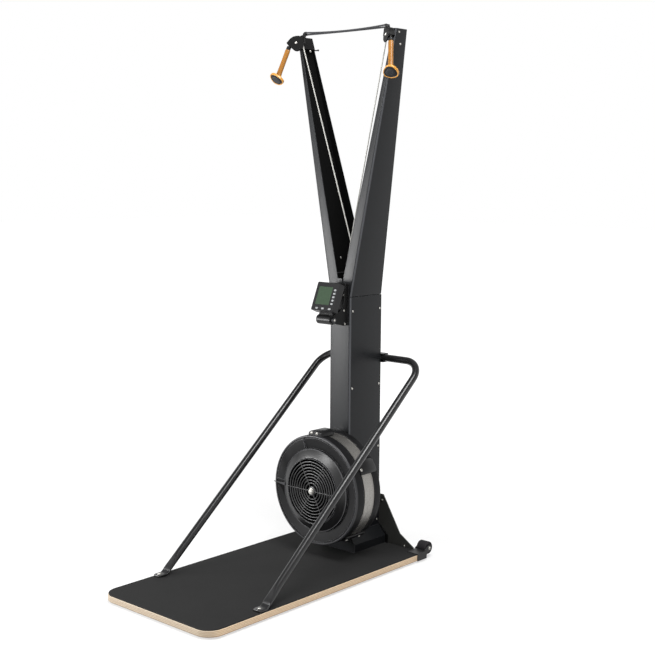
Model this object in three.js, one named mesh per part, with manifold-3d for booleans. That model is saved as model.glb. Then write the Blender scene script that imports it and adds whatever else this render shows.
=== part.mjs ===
// Ski trainer: a standing pull-down machine on a plywood platform.
// Millimetres, +Z up. The user stands on the mat and faces +Y; +X is on the user's right.
// Everything is laid out from the front face of the column (Y = 0) and the floor (Z = 0),
// and the last lines move the model so that its box is centred on the origin.
import * as THREE from 'three';
import { mergeVertices } from 'three/addons/utils/BufferGeometryUtils.js';
import Module from 'manifold-3d';

const wasm = await Module();
wasm.setup();

// General clearances
const seatGap = 0.3;
const runGap = 0.5;
const overrun = 5;
const sheet = 3;

// Platform
const boardWidth = 600;
const boardFront = -1012;
const boardRear = 216;
const boardThickness = 25;
const boardCorner = 65;
const matThickness = 3.4;
const matInset = 2;
const footHeight = 8;
const footWidth = 40;
const footInset = 75;
const footSideInset = 30;

// Column
const columnWidth = 110.6;
const columnDepth = 201.4;
const columnBevel = 6;
const seamHeight = 1106;

// Arms
const armTopHeight = 2168;
const armTopOuter = 262;
const armTopInner = 247;
const armTopFront = 15;
const armTopRear = 88;
const crotchRise = 12;
const centreGap = 0.6;

// Pulley heads, for the right-hand side; the left one is mirrored
const headInset = 1.3;
const headForward = 21.3;
const headDrop = 27.5;
const headPulleyRadius = 24;
const headPulleyRim = 27;
const headPulleyWidth = 17;
const headAxleRadius = 4;
const headHalfWidth = 10.5;
const headPlate = 2.5;
const headBoltRadius = 6;
const headBoltHeight = 4;
const headMountDrop = 47;
const headMountThickness = 3;
const guideBlockWidth = 16;
const hookRodRadius = 2.6;
const hookRodLength = 24;
const hookBallRadius = 4.2;
const hookDrop = 50;

// Cords
const cordRadius = 2.5;
const shockRadius = 3;
const shockSag = 7;
const shockRearSagShare = 0.2;
const shockCollar = 4.5;
const shockCollarLength = 5.5;
const guideWheelRadius = 20;
const guideWheelRim = 23;
const guideWheelWidth = 11;
const guideWheelRise = 82;
const guidePinRadius = 4;
const cordLineX = 45;
const cordLineY = [64, 84];
const cordLead = 2;
const wrapTurns = 0.7;
const wrapSteps = 16;

// Handles
const exitDrop = 22;
const hangRight = new THREE.Vector3(0.225, -0.27, -0.936).normalize();
const capFacing = new THREE.Vector3(-0.09, -1, 0);
const ferruleLength = 14;
const ferruleRadius = 9.5;
const ferruleTopShare = 0.7;
const ferruleShoulderShare = 0.3;
const gripWide = 11.2;
const gripNarrow = 9.2;
const gripLength = 118;
const gripWaistPlaceShare = 0.55;
const gripWaistShare = 0.97;
const gripEndShares = [0.86, 0.9];
const gripFlareShares = [1.25, 1.3];
const capDistance = 143.5;
const capSlant = THREE.MathUtils.degToRad(31);
const capLong = 34;
const capShort = 28.5;
const capRim = 4.2;
const capDepth = 9;
const capInsertBulge = 3;
const capBackShare = 2.4;
const capEggShare = -0.22;

// Fan
const fanHeight = 315.6;
const fanRadius = 229;
const bandRadius = 226;
const rearShellDepth = 37;
const bandDepth = 60;
const frontShellDepth = 51;
const shellWall = 3;
const annulusInner = 173;
const annulusThickness = 5;
const grilleRadius = 136;
const grilleRise = 20;
const grilleThickness = 4;
const grilleRings = 8;
const grilleBar = 3.6;
const spokeWidth = 5;
const spokeCount = 3;
const fanHubRadius = 21;
const bearingRadius = 16;
const bearingWidth = 10;
const axleRadius = 8;
const hubNutRadius = 13;
const hubNutHeight = 9;
const hubNutTopShare = 0.7;
const hubNutEdgeShare = 0.6;
const rotorRadius = 205;
const rotorHub = 22;
const bladeCount = 18;
const bladeInner = 70;
const bladeThickness = 3;
const bladeDepth = 104;
const rotorDisc = 4;
const rotorBackGap = 14;
const scaleStartAngle = THREE.MathUtils.degToRad(176);
const scaleEndAngle = THREE.MathUtils.degToRad(468);
const scaleDepth = 2.2;
const damperSkin = 4;
const leverThickness = 4.5;
const damperTipRadius = 229;
const damperBaseAngle = THREE.MathUtils.degToRad(17);
const clampThickness = 7;
const clamps = [
  { name: 'top', angle: 95, width: 58, front: 148, rear: 66 },
  { name: 'side', angle: 31, width: 62, front: 106, rear: 8 },
  { name: 'bottom', angle: -54, width: 36, front: 118, rear: 2 },
];
const shellSegments = 40;
const ringSegments = 18;

// Drums
const drumRadius = cordLineX;
const drumRim = 49.5;
const drumWidth = 15;

// Support tube
const tubeRadius = 15.2;
const tubeFootX = 277;
const tubeFootY = -722;
const tubeTopX = 269;
const tubeTopZ = 834;
const tubeBend = 90;
const tubeFootLength = 68;
const bendSteps = 7;
const tabLead = 40;
const tabThickness = 9;
const tabWidth = 40;
const tabTipShare = 0.6;

// Rear foot
const gussetThickness = 5;
const gussetTopZ = 244;
const gussetTopX = 78;
const gussetKneeX = 171;
const gussetKneeZ = 90;
const gussetToeHeight = 7;
const shoeHalfWidth = 95;
const shoeWallHeight = 34;
const shoeHeight = 75;
const shoeLip = 4;
const shoeFrontGap = 6;
const wheelRadius = 26.5;
const wheelWidth = 46;
const wheelX = 267;
const wheelY = 250;
const wheelZ = 42;
const wheelPinRadius = 6;
const earRadius = 13;
const bracketInnerX = 245;
const bracketFrontY = 158;

// Monitor
const monitorWidth = 117;
const monitorHeight = 121;
const monitorDepth = 34;
const monitorTilt = THREE.MathUtils.degToRad(22.3);
const monitorFaceTopY = -69;
const monitorRise = 62;
const monitorCorner = 5;
const batteryRadius = 19.5;
const batteryHalfLength = 36;
const pivotY = -88;
const pivotDrop = 88;
const knobRadius = 11;
const knobLength = 9;
const knobBackShare = 0.8;
const neckWidthShare = 0.6;
const lensWidth = 74;
const lensHeight = 76;
const lensThickness = 1.6;
const lensFromLeft = 14;
const lensFromTop = 19;
const sideButtons = 5;
const sideButtonSize = [11, 7.5];
const sideButtonPitch = 14.5;
const sideButtonFromRight = 13;
const sideButtonFromTop = 31.5;
const lowButtonSize = [13, 7];
const lowButtonFromBottom = 9.5;
const lowButtonShares = [-0.24, 0.03, 0.345];
const buttonHeight = 5;
const buttonProud = 2;
const buttonWell = 4;
const bracketRise = 54;
const bracketDrop = 116;
const bracketHalfWidth = 46;
const bracketDepth = 26;
const bracketTopShare = 0.4;

// Working values
const armFoot = seamHeight + seatGap;
const crotchHeight = seamHeight + crotchRise;
const guideWheelHeight = crotchHeight + guideWheelRise;
const hookHeight = armTopHeight - hookDrop;
const headMountBottom = armTopHeight - headMountDrop;
const headCentre = new THREE.Vector3(
  armTopInner - headInset, armTopFront - headForward, armTopHeight - headDrop,
);
const monitorFaceTopZ = seamHeight + monitorRise;
const pivotZ = seamHeight - pivotDrop;
const bracketTop = seamHeight + bracketRise;
const bracketBottom = seamHeight - bracketDrop;
const gussetToeX = bracketInnerX - seatGap;
const boardTop = footHeight + boardThickness;
const floorLevel = boardTop + matThickness;
const half = columnWidth / 2;

// Materials
const material = (color, roughness, metalness) => (
  new THREE.MeshStandardMaterial({ color, roughness, metalness })
);
const blackPaint = material(0x2a2b2d, 0.42, 0.35);
const blackPlastic = material(0x1b1c1e, 0.55, 0);
const blackRubber = material(0x26272a, 0.9, 0);
const plywood = material(0xd6bb98, 0.6, 0);
const steel = material(0xb8b8b4, 0.3, 1);
const bandSteel = material(0x94928c, 0.35, 0.9);
const orange = material(0xdb8a2c, 0.5, 0);
const paleCord = material(0xb9b8b2, 0.7, 0);
const darkCord = material(0x3a3b3e, 0.85, 0);
const buttonGrey = material(0xc2c4c6, 0.5, 0);
const lensGlass = material(0x586c58, 0.15, 0);

const model = new THREE.Group();

function node(name, geometry, look) {
  const mesh = new THREE.Mesh(geometry, look);
  mesh.name = name;
  model.add(mesh);
  return mesh;
}

// Joins and cuts
function solid(geometry) {
  const plain = new THREE.BufferGeometry();
  plain.setAttribute('position', geometry.getAttribute('position').clone());
  if (geometry.index) plain.setIndex(geometry.index.clone());
  const merged = mergeVertices(plain, 1e-3);
  return new wasm.Manifold(new wasm.Mesh({
    numProp: 3,
    vertProperties: new Float32Array(merged.getAttribute('position').array),
    triVerts: new Uint32Array(merged.index.array),
  }));
}

function geometryOf(body) {
  const mesh = body.getMesh();
  const geometry = new THREE.BufferGeometry();
  geometry.setAttribute('position', new THREE.BufferAttribute(new Float32Array(mesh.vertProperties), 3));
  geometry.setIndex(new THREE.BufferAttribute(new Uint32Array(mesh.triVerts), 1));
  return geometry;
}

function join(...geometries) {
  return geometryOf(geometries.map(solid).reduce((a, b) => a.add(b)));
}

function cut(geometry, ...tools) {
  return geometryOf(tools.map(solid).reduce((a, b) => a.subtract(b), solid(geometry)));
}

// Turns a closed mesh so that its faces point out
function faceOut(geometry) {
  const merged = geometry.index ? geometry : mergeVertices(geometry);
  const p = merged.getAttribute('position');
  const index = merged.index.array;
  const [a, b, c] = [new THREE.Vector3(), new THREE.Vector3(), new THREE.Vector3()];
  let volume = 0;
  for (let i = 0; i < index.length; i += 3) {
    a.fromBufferAttribute(p, index[i]);
    b.fromBufferAttribute(p, index[i + 1]);
    c.fromBufferAttribute(p, index[i + 2]);
    volume += a.dot(b.cross(c));
  }
  if (volume < 0) {
    for (let i = 0; i < index.length; i += 3) {
      [index[i], index[i + 1]] = [index[i + 1], index[i]];
    }
  }
  return merged;
}

// A box between two corners
function block(x0, x1, y0, y1, z0, z1) {
  const geometry = new THREE.BoxGeometry(x1 - x0, y1 - y0, z1 - z0);
  return geometry.translate((x0 + x1) / 2, (y0 + y1) / 2, (z0 + z1) / 2);
}

// A body turned about the Y axis through the origin, from [radius, y] pairs
function turned(pairs, segments) {
  const points = pairs.map(([r, y]) => new THREE.Vector2(r, y));
  if (pairs[0][0] > 0) points.push(points[0].clone());
  const geometry = new THREE.LatheGeometry(points, segments);
  geometry.deleteAttribute('normal');
  geometry.deleteAttribute('uv');
  return faceOut(withoutSlivers(mergeVertices(geometry, 1e-3)));
}

// Drops the triangles that fold to nothing on the axis of a turned body
function withoutSlivers(geometry) {
  const kept = [];
  const index = geometry.index.array;
  for (let i = 0; i < index.length; i += 3) {
    const [a, b, c] = [index[i], index[i + 1], index[i + 2]];
    if (a !== b && b !== c && c !== a) kept.push(a, b, c);
  }
  geometry.setIndex(kept);
  return geometry;
}

function ringAt(inner, outer, y0, y1, segments) {
  return turned([[inner, y0], [outer, y0], [outer, y1], [inner, y1]], segments);
}

function rod(radius, y0, y1, segments) {
  return turned([[0, y0], [radius, y0], [radius, y1], [0, y1]], segments);
}

// A flat plate: an outline of [u, v] pairs, extruded along the third axis by thickness
function plate(pairs, thickness) {
  const shape = new THREE.Shape(pairs.map(([u, v]) => new THREE.Vector2(u, v)));
  return new THREE.ExtrudeGeometry(shape, { depth: thickness, bevelEnabled: false, curveSegments: 10 });
}

function roundedRectangle(width, height, radius) {
  const shape = new THREE.Shape();
  const w = width / 2;
  const h = height / 2;
  shape.moveTo(-w + radius, -h);
  shape.lineTo(w - radius, -h);
  shape.absarc(w - radius, -h + radius, radius, -Math.PI / 2, 0);
  shape.lineTo(w, h - radius);
  shape.absarc(w - radius, h - radius, radius, 0, Math.PI / 2);
  shape.lineTo(-w + radius, h);
  shape.absarc(-w + radius, h - radius, radius, Math.PI / 2, Math.PI);
  shape.lineTo(-w, -h + radius);
  shape.absarc(-w + radius, -h + radius, radius, Math.PI, 1.5 * Math.PI);
  return shape;
}

// A body through rings of points, each ring with as many points as the next
function loft(rings) {
  const count = rings[0].length;
  const positions = rings.flat().flatMap((v) => [v.x, v.y, v.z]);
  const index = [];
  for (let k = 0; k + 1 < rings.length; k++) {
    for (let i = 0; i < count; i++) {
      const j = (i + 1) % count;
      const [a, b] = [k * count + i, k * count + j];
      index.push(a, b, b + count, a, b + count, a + count);
    }
  }
  const flat = flatten(rings[0]);
  const caps = THREE.ShapeUtils.triangulateShape(flat, []);
  const last = (rings.length - 1) * count;
  for (const [a, b, c] of caps) {
    index.push(a, c, b);
    index.push(last + a, last + b, last + c);
  }
  const geometry = new THREE.BufferGeometry();
  geometry.setAttribute('position', new THREE.Float32BufferAttribute(positions, 3));
  geometry.setIndex(index);
  return faceOut(geometry);
}

// The points of a flat ring in the ring's own plane
function flatten(ring) {
  const normal = new THREE.Vector3();
  for (let i = 0; i < ring.length; i++) {
    const a = ring[i];
    const b = ring[(i + 1) % ring.length];
    normal.x += (a.y - b.y) * (a.z + b.z);
    normal.y += (a.z - b.z) * (a.x + b.x);
    normal.z += (a.x - b.x) * (a.y + b.y);
  }
  normal.normalize();
  const side = new THREE.Vector3(1, 0, 0);
  if (Math.abs(normal.x) > Math.SQRT1_2) side.set(0, 1, 0);
  side.addScaledVector(normal, -side.dot(normal)).normalize();
  const up = new THREE.Vector3().crossVectors(normal, side);
  return ring.map((v) => new THREE.Vector2(v.dot(side), v.dot(up)));
}

// A round tube through a list of points, with a set number of sides
function tube(points, radius, sides) {
  const rings = [];
  let side = null;
  points.forEach((point, k) => {
    const before = points[Math.max(k - 1, 0)];
    const after = points[Math.min(k + 1, points.length - 1)];
    const along = after.clone().sub(before).normalize();
    if (!side) {
      side = new THREE.Vector3(1, 0, 0);
      if (Math.abs(along.x) > Math.SQRT1_2) side.set(0, 1, 0);
    }
    side.addScaledVector(along, -side.dot(along)).normalize();
    const up = new THREE.Vector3().crossVectors(along, side);
    const ring = [];
    for (let i = 0; i < sides; i++) {
      const turn = (2 * Math.PI * i) / sides;
      ring.push(point.clone()
        .addScaledVector(side, radius * Math.cos(turn))
        .addScaledVector(up, radius * Math.sin(turn)));
    }
    rings.push(ring);
  });
  return loft(rings);
}

// A frame whose columns are three directions, at a place
function frame(x, y, z, place) {
  return new THREE.Matrix4().makeBasis(x, y, z).setPosition(place);
}

function mirrored(geometry) {
  return faceOut(geometry.clone().scale(-1, 1, 1));
}

function place(v, side) {
  return new THREE.Vector3(v.x * side, v.y, v.z);
}

const sides = [['left', -1], ['right', 1]];

// Platform: plywood board, rubber mat and two rubber runners
function platformOutline(inset) {
  const x = boardWidth / 2 - inset;
  const y0 = boardFront + inset;
  const y1 = boardRear - inset;
  const r = boardCorner - inset;
  const shape = new THREE.Shape();
  shape.moveTo(-x + r, y0);
  shape.lineTo(x - r, y0);
  shape.absarc(x - r, y0 + r, r, -Math.PI / 2, 0);
  shape.lineTo(x, y1);
  shape.lineTo(-x, y1);
  shape.absarc(-x + r, y0 + r, r, Math.PI, 1.5 * Math.PI);
  return shape;
}

function makePlatform() {
  const board = new THREE.ExtrudeGeometry(platformOutline(0),
    { depth: boardThickness, bevelEnabled: false, curveSegments: 10 });
  node('platform_board', board.translate(0, 0, footHeight), plywood);
  const mat = new THREE.ExtrudeGeometry(platformOutline(matInset),
    { depth: matThickness, bevelEnabled: false, curveSegments: 10 });
  node('platform_mat', mat.translate(0, 0, boardTop), blackRubber);
  for (const [endName, y] of [['front', boardFront + footInset], ['rear', boardRear - footInset]]) {
    const reach = boardWidth / 2 - footSideInset;
    const runner = block(-reach, reach, y - footWidth / 2, y + footWidth / 2, 0, footHeight);
    node(`runner_${endName}`, runner, blackRubber);
  }
}

// Column: a folded shell, open at the rear, and its rear cover
function makeColumn() {
  const inner = half - sheet;
  const outline = [
    [-half, columnDepth], [-half, columnBevel], [-half + columnBevel, 0],
    [half - columnBevel, 0], [half, columnBevel], [half, columnDepth],
    [inner, columnDepth], [inner, columnBevel + sheet / 2], [inner - columnBevel + sheet / 2, sheet],
    [-inner + columnBevel - sheet / 2, sheet], [-inner, columnBevel + sheet / 2], [-inner, columnDepth],
  ];
  const shell = plate(outline, seamHeight - floorLevel).translate(0, 0, floorLevel);
  const bore = rod(axleRadius * 2, -overrun, sheet + overrun, 24).translate(0, 0, fanHeight);
  node('column_shell', cut(shell, bore), blackPaint);

  const cover = block(
    -inner + seatGap, inner - seatGap, columnDepth - sheet, columnDepth, floorLevel, seamHeight,
  );
  const seat = ringAt(bearingRadius + seatGap, bearingRadius + 2 * sheet,
    columnDepth - sheet - bearingWidth, columnDepth - sheet / 2, 24);
  seat.translate(0, 0, fanHeight);
  node('column_rear_cover', join(cover, seat), blackPaint);
}

// Arms: tapering channels, open towards the middle
const armShare = (z) => (z - seamHeight) / (armTopHeight - seamHeight);
const armOuter = (z) => THREE.MathUtils.lerp(half, armTopOuter, armShare(z));
const armFront = (z) => THREE.MathUtils.lerp(0, armTopFront, armShare(z));
const armRear = (z) => THREE.MathUtils.lerp(columnDepth, armTopRear, armShare(z));
const armInner = (z) => Math.max(centreGap / 2,
  armTopInner * (z - crotchHeight) / (armTopHeight - crotchHeight));

function armSection(z) {
  const [xo, xi, y0, y1] = [armOuter(z), armInner(z), armFront(z), armRear(z)];
  const c = columnBevel;
  return [
    [xo, y0 + c], [xo, y1], [xi, y1], [xi, y1 - sheet], [xo - sheet, y1 - sheet],
    [xo - sheet, y0 + c + sheet / 2], [xo - c - sheet / 2, y0 + sheet],
    [xi, y0 + sheet], [xi, y0], [xo - c, y0],
  ].map(([x, y]) => new THREE.Vector3(x, y, z));
}

function makeArms() {
  for (const [sideName, side] of sides) {
    const channel = loft([armFoot, crotchHeight, armTopHeight].map(armSection));
    const pin = rod(guidePinRadius, armFront(guideWheelHeight) + sheet / 2,
      armRear(guideWheelHeight) - sheet / 2, 16);
    pin.translate(cordLineX - guideWheelRadius, 0, guideWheelHeight);
    const arm = join(channel, pin, ...makeHook());
    node(`arm_${sideName}`, side < 0 ? mirrored(arm) : arm, blackPaint);
  }
}

// A hook rod on the arm's rear flange, with a ball at its end
function makeHook() {
  const start = new THREE.Vector3(
    armInner(hookHeight) + hookRodRadius, armRear(hookHeight) - sheet / 2, hookHeight,
  );
  const end = start.clone().sub(new THREE.Vector3(hookRodLength, 0, 0));
  const ball = new THREE.SphereGeometry(hookBallRadius, 10, 6).translate(end.x, end.y, end.z);
  ball.deleteAttribute('normal').deleteAttribute('uv');
  return [tube([start, end], hookRodRadius, 8), withoutSlivers(mergeVertices(ball, 1e-3))];
}

// The plane of a pulley head holds the handle's line and the cord's way down to the far guide wheel
function cordTarget(side) {
  return new THREE.Vector3(-side * cordLineX, (cordLineY[0] + cordLineY[1]) / 2, guideWheelHeight);
}

function headFrame(side) {
  const centre = place(headCentre, side);
  const hang = place(hangRight, side);
  const away = cordTarget(side).sub(centre);
  const inward = new THREE.Vector3().crossVectors(away, hang).normalize();
  if (inward.y > 0) inward.negate();
  const nose = new THREE.Vector3().crossVectors(new THREE.Vector3(0, 0, 1), inward).normalize();
  if (nose.y > 0) nose.negate();
  const up = new THREE.Vector3().crossVectors(nose, inward).normalize();
  if (up.z < 0) up.negate();
  return { centre, hang, inward, nose, up };
}

// A plate in the head's plane: u towards the nose, v up, from one depth to another
function headSolid(head, pairs, from, to) {
  const geometry = plate(pairs, to - from);
  const matrix = frame(head.nose, head.up, head.inward,
    head.centre.clone().addScaledVector(head.inward, from));
  const bare = geometry.applyMatrix4(matrix).deleteAttribute('normal').deleteAttribute('uv');
  return faceOut(mergeVertices(bare, 1e-3));
}

// A body turned about the head's axle, from [radius, depth] pairs
function headTurned(head, pairs, segments) {
  const geometry = turned(pairs, segments);
  return faceOut(geometry.applyMatrix4(frame(head.up, head.inward, head.nose, head.centre)));
}

const leafShares = [
  [1.65, -0.06], [1.46, 0.24], [0.78, 0.74], [0.1, 1.0], [-0.58, 1.12], [-1.25, 1.2],
  [-1.3, -0.55], [-0.7, -1.06], [-0.38, -1.2], [0.04, -1.27], [0.42, -1.13], [0.84, -0.8], [1.28, -0.45],
];
const guideShares = [[-1.6, 1.05], [-1.1, 1.05], [-1.1, 1.55], [-1.35, 1.88], [-1.6, 1.88]];
const webShares = [[-1.52, -0.1], [-1.2, -0.1], [-1.2, 1.1], [-1.52, 1.1]];

const shockStrandShares = [['front', 1.74, 0.35], ['rear', 1.5, -0.35]];

function shockAnchor(head, riseShare, depthShare) {
  return head.centre.clone()
    .addScaledVector(head.nose, guideShares[0][0] * headPulleyRadius)
    .addScaledVector(head.up, riseShare * headPulleyRadius)
    .addScaledVector(head.inward, depthShare * guideBlockWidth);
}

function makeHead(sideName, side) {
  const head = headFrame(side);
  const scaled = (shares) => shares.map(([u, v]) => [u * headPulleyRadius, v * headPulleyRadius]);
  const outer = headHalfWidth + headPlate;
  const boss = headTurned(head, [[0, -outer - overrun], [headAxleRadius + seatGap, -outer - overrun],
    [headAxleRadius + seatGap, outer + overrun], [0, outer + overrun]], 12);

  const parts = [
    headSolid(head, scaled(leafShares), headHalfWidth, outer),
    headSolid(head, scaled(leafShares), -outer, -headHalfWidth),
    headSolid(head, scaled(webShares), -outer, outer),
    headSolid(head, scaled(guideShares), -guideBlockWidth / 2, guideBlockWidth / 2),
  ];
  for (const [, riseShare, depthShare] of shockStrandShares) {
    const anchor = shockAnchor(head, riseShare, depthShare);
    const mouth = anchor.clone().add(new THREE.Vector3(-side * shockCollarLength, 0, 0));
    const root = anchor.clone().add(new THREE.Vector3(side * shockCollarLength, 0, 0));
    parts.push(tube([root, mouth], shockCollar, 10));
  }
  const bracket = cut(join(...parts), boss);
  const mount = headMount(side);
  const body = cut(join(bracket, mount), armSkin(side));
  node(`pulley_bracket_${sideName}`, body, blackPaint);

  const flange = headPulleyWidth / 2;
  node(`pulley_${sideName}`, headTurned(head, [
    [headAxleRadius + runGap, -flange], [headPulleyRim, -flange], [headPulleyRim, -flange + sheet / 2],
    [headPulleyRadius - cordRadius - seatGap, -cordRadius],
    [headPulleyRadius - cordRadius - seatGap, cordRadius],
    [headPulleyRim, flange - sheet / 2], [headPulleyRim, flange], [headAxleRadius + runGap, flange],
  ], 20), blackPlastic);

  const grip = outer + seatGap;
  node(`pulley_axle_${sideName}`, headTurned(head, [
    [0, -grip - headBoltHeight], [headBoltRadius, -grip - headBoltHeight], [headBoltRadius, -grip],
    [headAxleRadius, -grip], [headAxleRadius, grip], [headBoltRadius, grip],
    [headBoltRadius, grip + headBoltHeight], [0, grip + headBoltHeight],
  ], 16), steel);
  return head;
}

// The head's mounting plate closes the arm's open side
function headMount(side) {
  const section = (z) => {
    const x = armInner(z) - seatGap;
    const [y0, y1] = [armFront(z) - headPlate, armRear(z)];
    return [[x - headMountThickness, y0], [x, y0], [x, y1], [x - headMountThickness, y1]]
      .map(([u, v]) => new THREE.Vector3(u, v, z));
  };
  const back = loft([section(headMountBottom), section(armTopHeight)]);
  return side < 0 ? mirrored(back) : back;
}

// What the bracket keeps clear of: the arm's channel with a small gap all round
function armSkin(side) {
  const section = (z) => {
    const [xo, xi] = [armOuter(z) + overrun, armInner(z) - seatGap / 2];
    const [y0, y1] = [armFront(z) - seatGap, armRear(z) + seatGap];
    return [[xi, y0], [xo, y0], [xo, y1], [xi, y1]].map(([x, y]) => new THREE.Vector3(x, y, z));
  };
  const skin = loft([section(headMountBottom - 10 * overrun), section(armTopHeight + overrun)]);
  return side < 0 ? mirrored(skin) : skin;
}

// The drive cord: over the head pulley, down across the middle, past the guide wheel and round its drum
function tangentPoint(head, target) {
  const d = target.clone().sub(head.centre);
  const u = d.dot(head.nose);
  const v = d.dot(head.up);
  const distance = Math.hypot(u, v);
  const turn = Math.atan2(v, u) - Math.acos(headPulleyRadius / distance);
  return turn;
}

function headPoint(head, angle) {
  return head.centre.clone()
    .addScaledVector(head.nose, headPulleyRadius * Math.cos(angle))
    .addScaledVector(head.up, headPulleyRadius * Math.sin(angle));
}

function handleTangent(head) {
  const u = head.hang.dot(head.nose);
  const v = head.hang.dot(head.up);
  return Math.atan2(v, u) + Math.PI / 2;
}

function makeDriveCord(sideName, side, head) {
  const guideX = -side * (cordLineX - guideWheelRadius);
  const y = cordLineY[side < 0 ? 0 : 1];
  const start = handleTangent(head);
  let end = tangentPoint(head, cordTarget(side));
  if (end < start) end += 2 * Math.PI;
  const points = [headPoint(head, start).addScaledVector(head.hang, cordLead)];
  const steps = 10;
  for (let i = 0; i <= steps; i++) points.push(headPoint(head, start + ((end - start) * i) / steps));
  const last = points[points.length - 1];
  const slope = Math.atan2(Math.abs(last.x - cordTarget(side).x), last.z - guideWheelHeight);
  const arrive = new THREE.Vector3(guideX - side * guideWheelRadius * Math.cos(slope), y,
    guideWheelHeight + guideWheelRadius * Math.sin(slope));
  const runs = 5;
  for (let i = 1; i < runs; i++) points.push(last.clone().lerp(arrive, i / runs));
  points.push(arrive);
  points.push(new THREE.Vector3(-side * cordLineX, y, guideWheelHeight));
  points.push(new THREE.Vector3(-side * cordLineX, y, (guideWheelHeight + fanHeight) / 2));
  for (let i = 0; i <= wrapSteps; i++) {
    const turn = (2 * Math.PI * wrapTurns * i) / wrapSteps;
    const [out, up] = [drumRadius * Math.cos(turn), drumRadius * Math.sin(turn)];
    points.push(new THREE.Vector3(-side * out, y, fanHeight - up));
  }
  node(`drive_cord_${sideName}`, tube(points, cordRadius, 8), paleCord);
}

function makeGuideWheel(sideName, side) {
  const flange = guideWheelWidth / 2;
  const floor = guideWheelRadius - cordRadius - seatGap;
  const wheel = turned([
    [guidePinRadius + runGap, -flange], [guideWheelRim, -flange], [floor, -cordRadius],
    [floor, cordRadius], [guideWheelRim, flange], [guidePinRadius + runGap, flange],
  ], 16);
  wheel.translate(-side * (cordLineX - guideWheelRadius), cordLineY[side < 0 ? 0 : 1], guideWheelHeight);
  node(`guide_wheel_${sideName}`, wheel, blackPlastic);
}

// Two strands of shock cord between the heads' guide blocks
function makeShockCord(heads) {
  for (const [name, riseShare, depthShare] of shockStrandShares) {
    const [a, b] = heads.map((head) => shockAnchor(head, riseShare, depthShare));
    const standOff = new THREE.Vector3(shockCollarLength + seatGap, 0, 0);
    const start = a.clone().add(standOff);
    const stop = b.clone().sub(standOff);
    const steps = 12;
    const points = [];
    for (let i = 0; i <= steps; i++) {
      const t = i / steps;
      const point = start.clone().lerp(stop, t);
      point.z -= shockSag * 4 * t * (1 - t) * (name === 'front' ? 1 : shockRearSagShare);
      points.push(point);
    }
    node(`shock_cord_${name}`, tube(points, shockRadius, 8), darkCord);
  }
}

// Handles: ferrule with a cord end, grip with a slanted egg-shaped flange, and an insert in the flange
function handleFrame(side, head) {
  const hang = head.hang;
  const front = place(capFacing, side);
  front.addScaledVector(hang, -front.dot(hang)).normalize();
  const across = new THREE.Vector3().crossVectors(hang, front).multiplyScalar(-side);
  const origin = headPoint(head, handleTangent(head)).addScaledVector(hang, exitDrop);
  return { origin, hang, front, across };
}

function gripRing(handle, distance, wide, narrow, sides) {
  const ring = [];
  for (let i = 0; i < sides; i++) {
    const turn = (2 * Math.PI * i) / sides;
    ring.push(handle.origin.clone().addScaledVector(handle.hang, distance)
      .addScaledVector(handle.across, wide * Math.cos(turn))
      .addScaledVector(handle.front, narrow * Math.sin(turn)));
  }
  return ring;
}

// The flange's outline is an egg with its narrow end across the grip
function eggRing(handle, depth, grow, sides) {
  const facing = handle.hang.clone().multiplyScalar(Math.cos(capSlant))
    .addScaledVector(handle.front, Math.sin(capSlant));
  const rise = handle.front.clone().multiplyScalar(Math.cos(capSlant))
    .addScaledVector(handle.hang, -Math.sin(capSlant));
  const centre = handle.origin.clone().addScaledVector(handle.hang, capDistance);
  const ring = [];
  for (let i = 0; i < sides; i++) {
    const turn = (2 * Math.PI * i) / sides;
    const narrowing = 1 - capEggShare * Math.cos(turn);
    ring.push(centre.clone().addScaledVector(facing, depth)
      .addScaledVector(handle.across, (capLong + grow) * Math.cos(turn))
      .addScaledVector(rise, (capShort + grow) * narrowing * Math.sin(turn)));
  }
  return ring;
}

function makeHandle(sideName, side, head) {
  const handle = handleFrame(side, head);
  const ringSides = 16;
  const gripTop = ferruleLength + seatGap;
  const grip = loft([
    gripRing(handle, gripTop, gripWide * gripEndShares[0], gripNarrow * gripEndShares[1], ringSides),
    gripRing(handle, gripTop + gripNarrow / 2, gripWide, gripNarrow, ringSides),
    gripRing(handle, gripLength * gripWaistPlaceShare, gripWide * gripWaistShare,
      gripNarrow * gripWaistShare, ringSides),
    gripRing(handle, gripLength, gripWide, gripNarrow, ringSides),
    gripRing(handle, capDistance, gripWide * gripFlareShares[0], gripNarrow * gripFlareShares[1], ringSides),
  ]);
  const flange = loft([
    eggRing(handle, -capDepth, -capRim * capBackShare, ringSides + 4),
    eggRing(handle, -capDepth / 2, 0, ringSides + 4),
    eggRing(handle, capDepth / 2, 0, ringSides + 4),
  ]);
  const pocket = loft([
    eggRing(handle, 0, -capRim, ringSides + 4),
    eggRing(handle, capDepth, -capRim, ringSides + 4),
  ]);
  node(`handle_grip_${sideName}`, cut(join(grip, flange), pocket), orange);

  const insert = loft([
    eggRing(handle, seatGap, -capRim - seatGap, ringSides + 4),
    eggRing(handle, capDepth / 2 - seatGap, -capRim - seatGap, ringSides + 4),
    eggRing(handle, capDepth / 2 + capInsertBulge, -capRim * capBackShare, ringSides + 4),
  ]);
  node(`handle_insert_${sideName}`, insert, blackRubber);

  const cordStart = handle.origin.clone().addScaledVector(handle.hang, cordLead + seatGap - exitDrop);
  const collar = loft([
    gripRing(handle, -seatGap, ferruleRadius * ferruleTopShare, ferruleRadius * ferruleTopShare, 16),
    gripRing(handle, ferruleLength * ferruleShoulderShare, ferruleRadius, ferruleRadius, 16),
    gripRing(handle, ferruleLength, ferruleRadius, ferruleRadius, 16),
  ]);
  const cordStop = handle.origin.clone().addScaledVector(handle.hang, ferruleLength / 2);
  const cordEnd = tube([cordStart, cordStop], cordRadius, 8);
  node(`handle_ferrule_${sideName}`, join(collar, cordEnd), blackPlastic);
}

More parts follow.
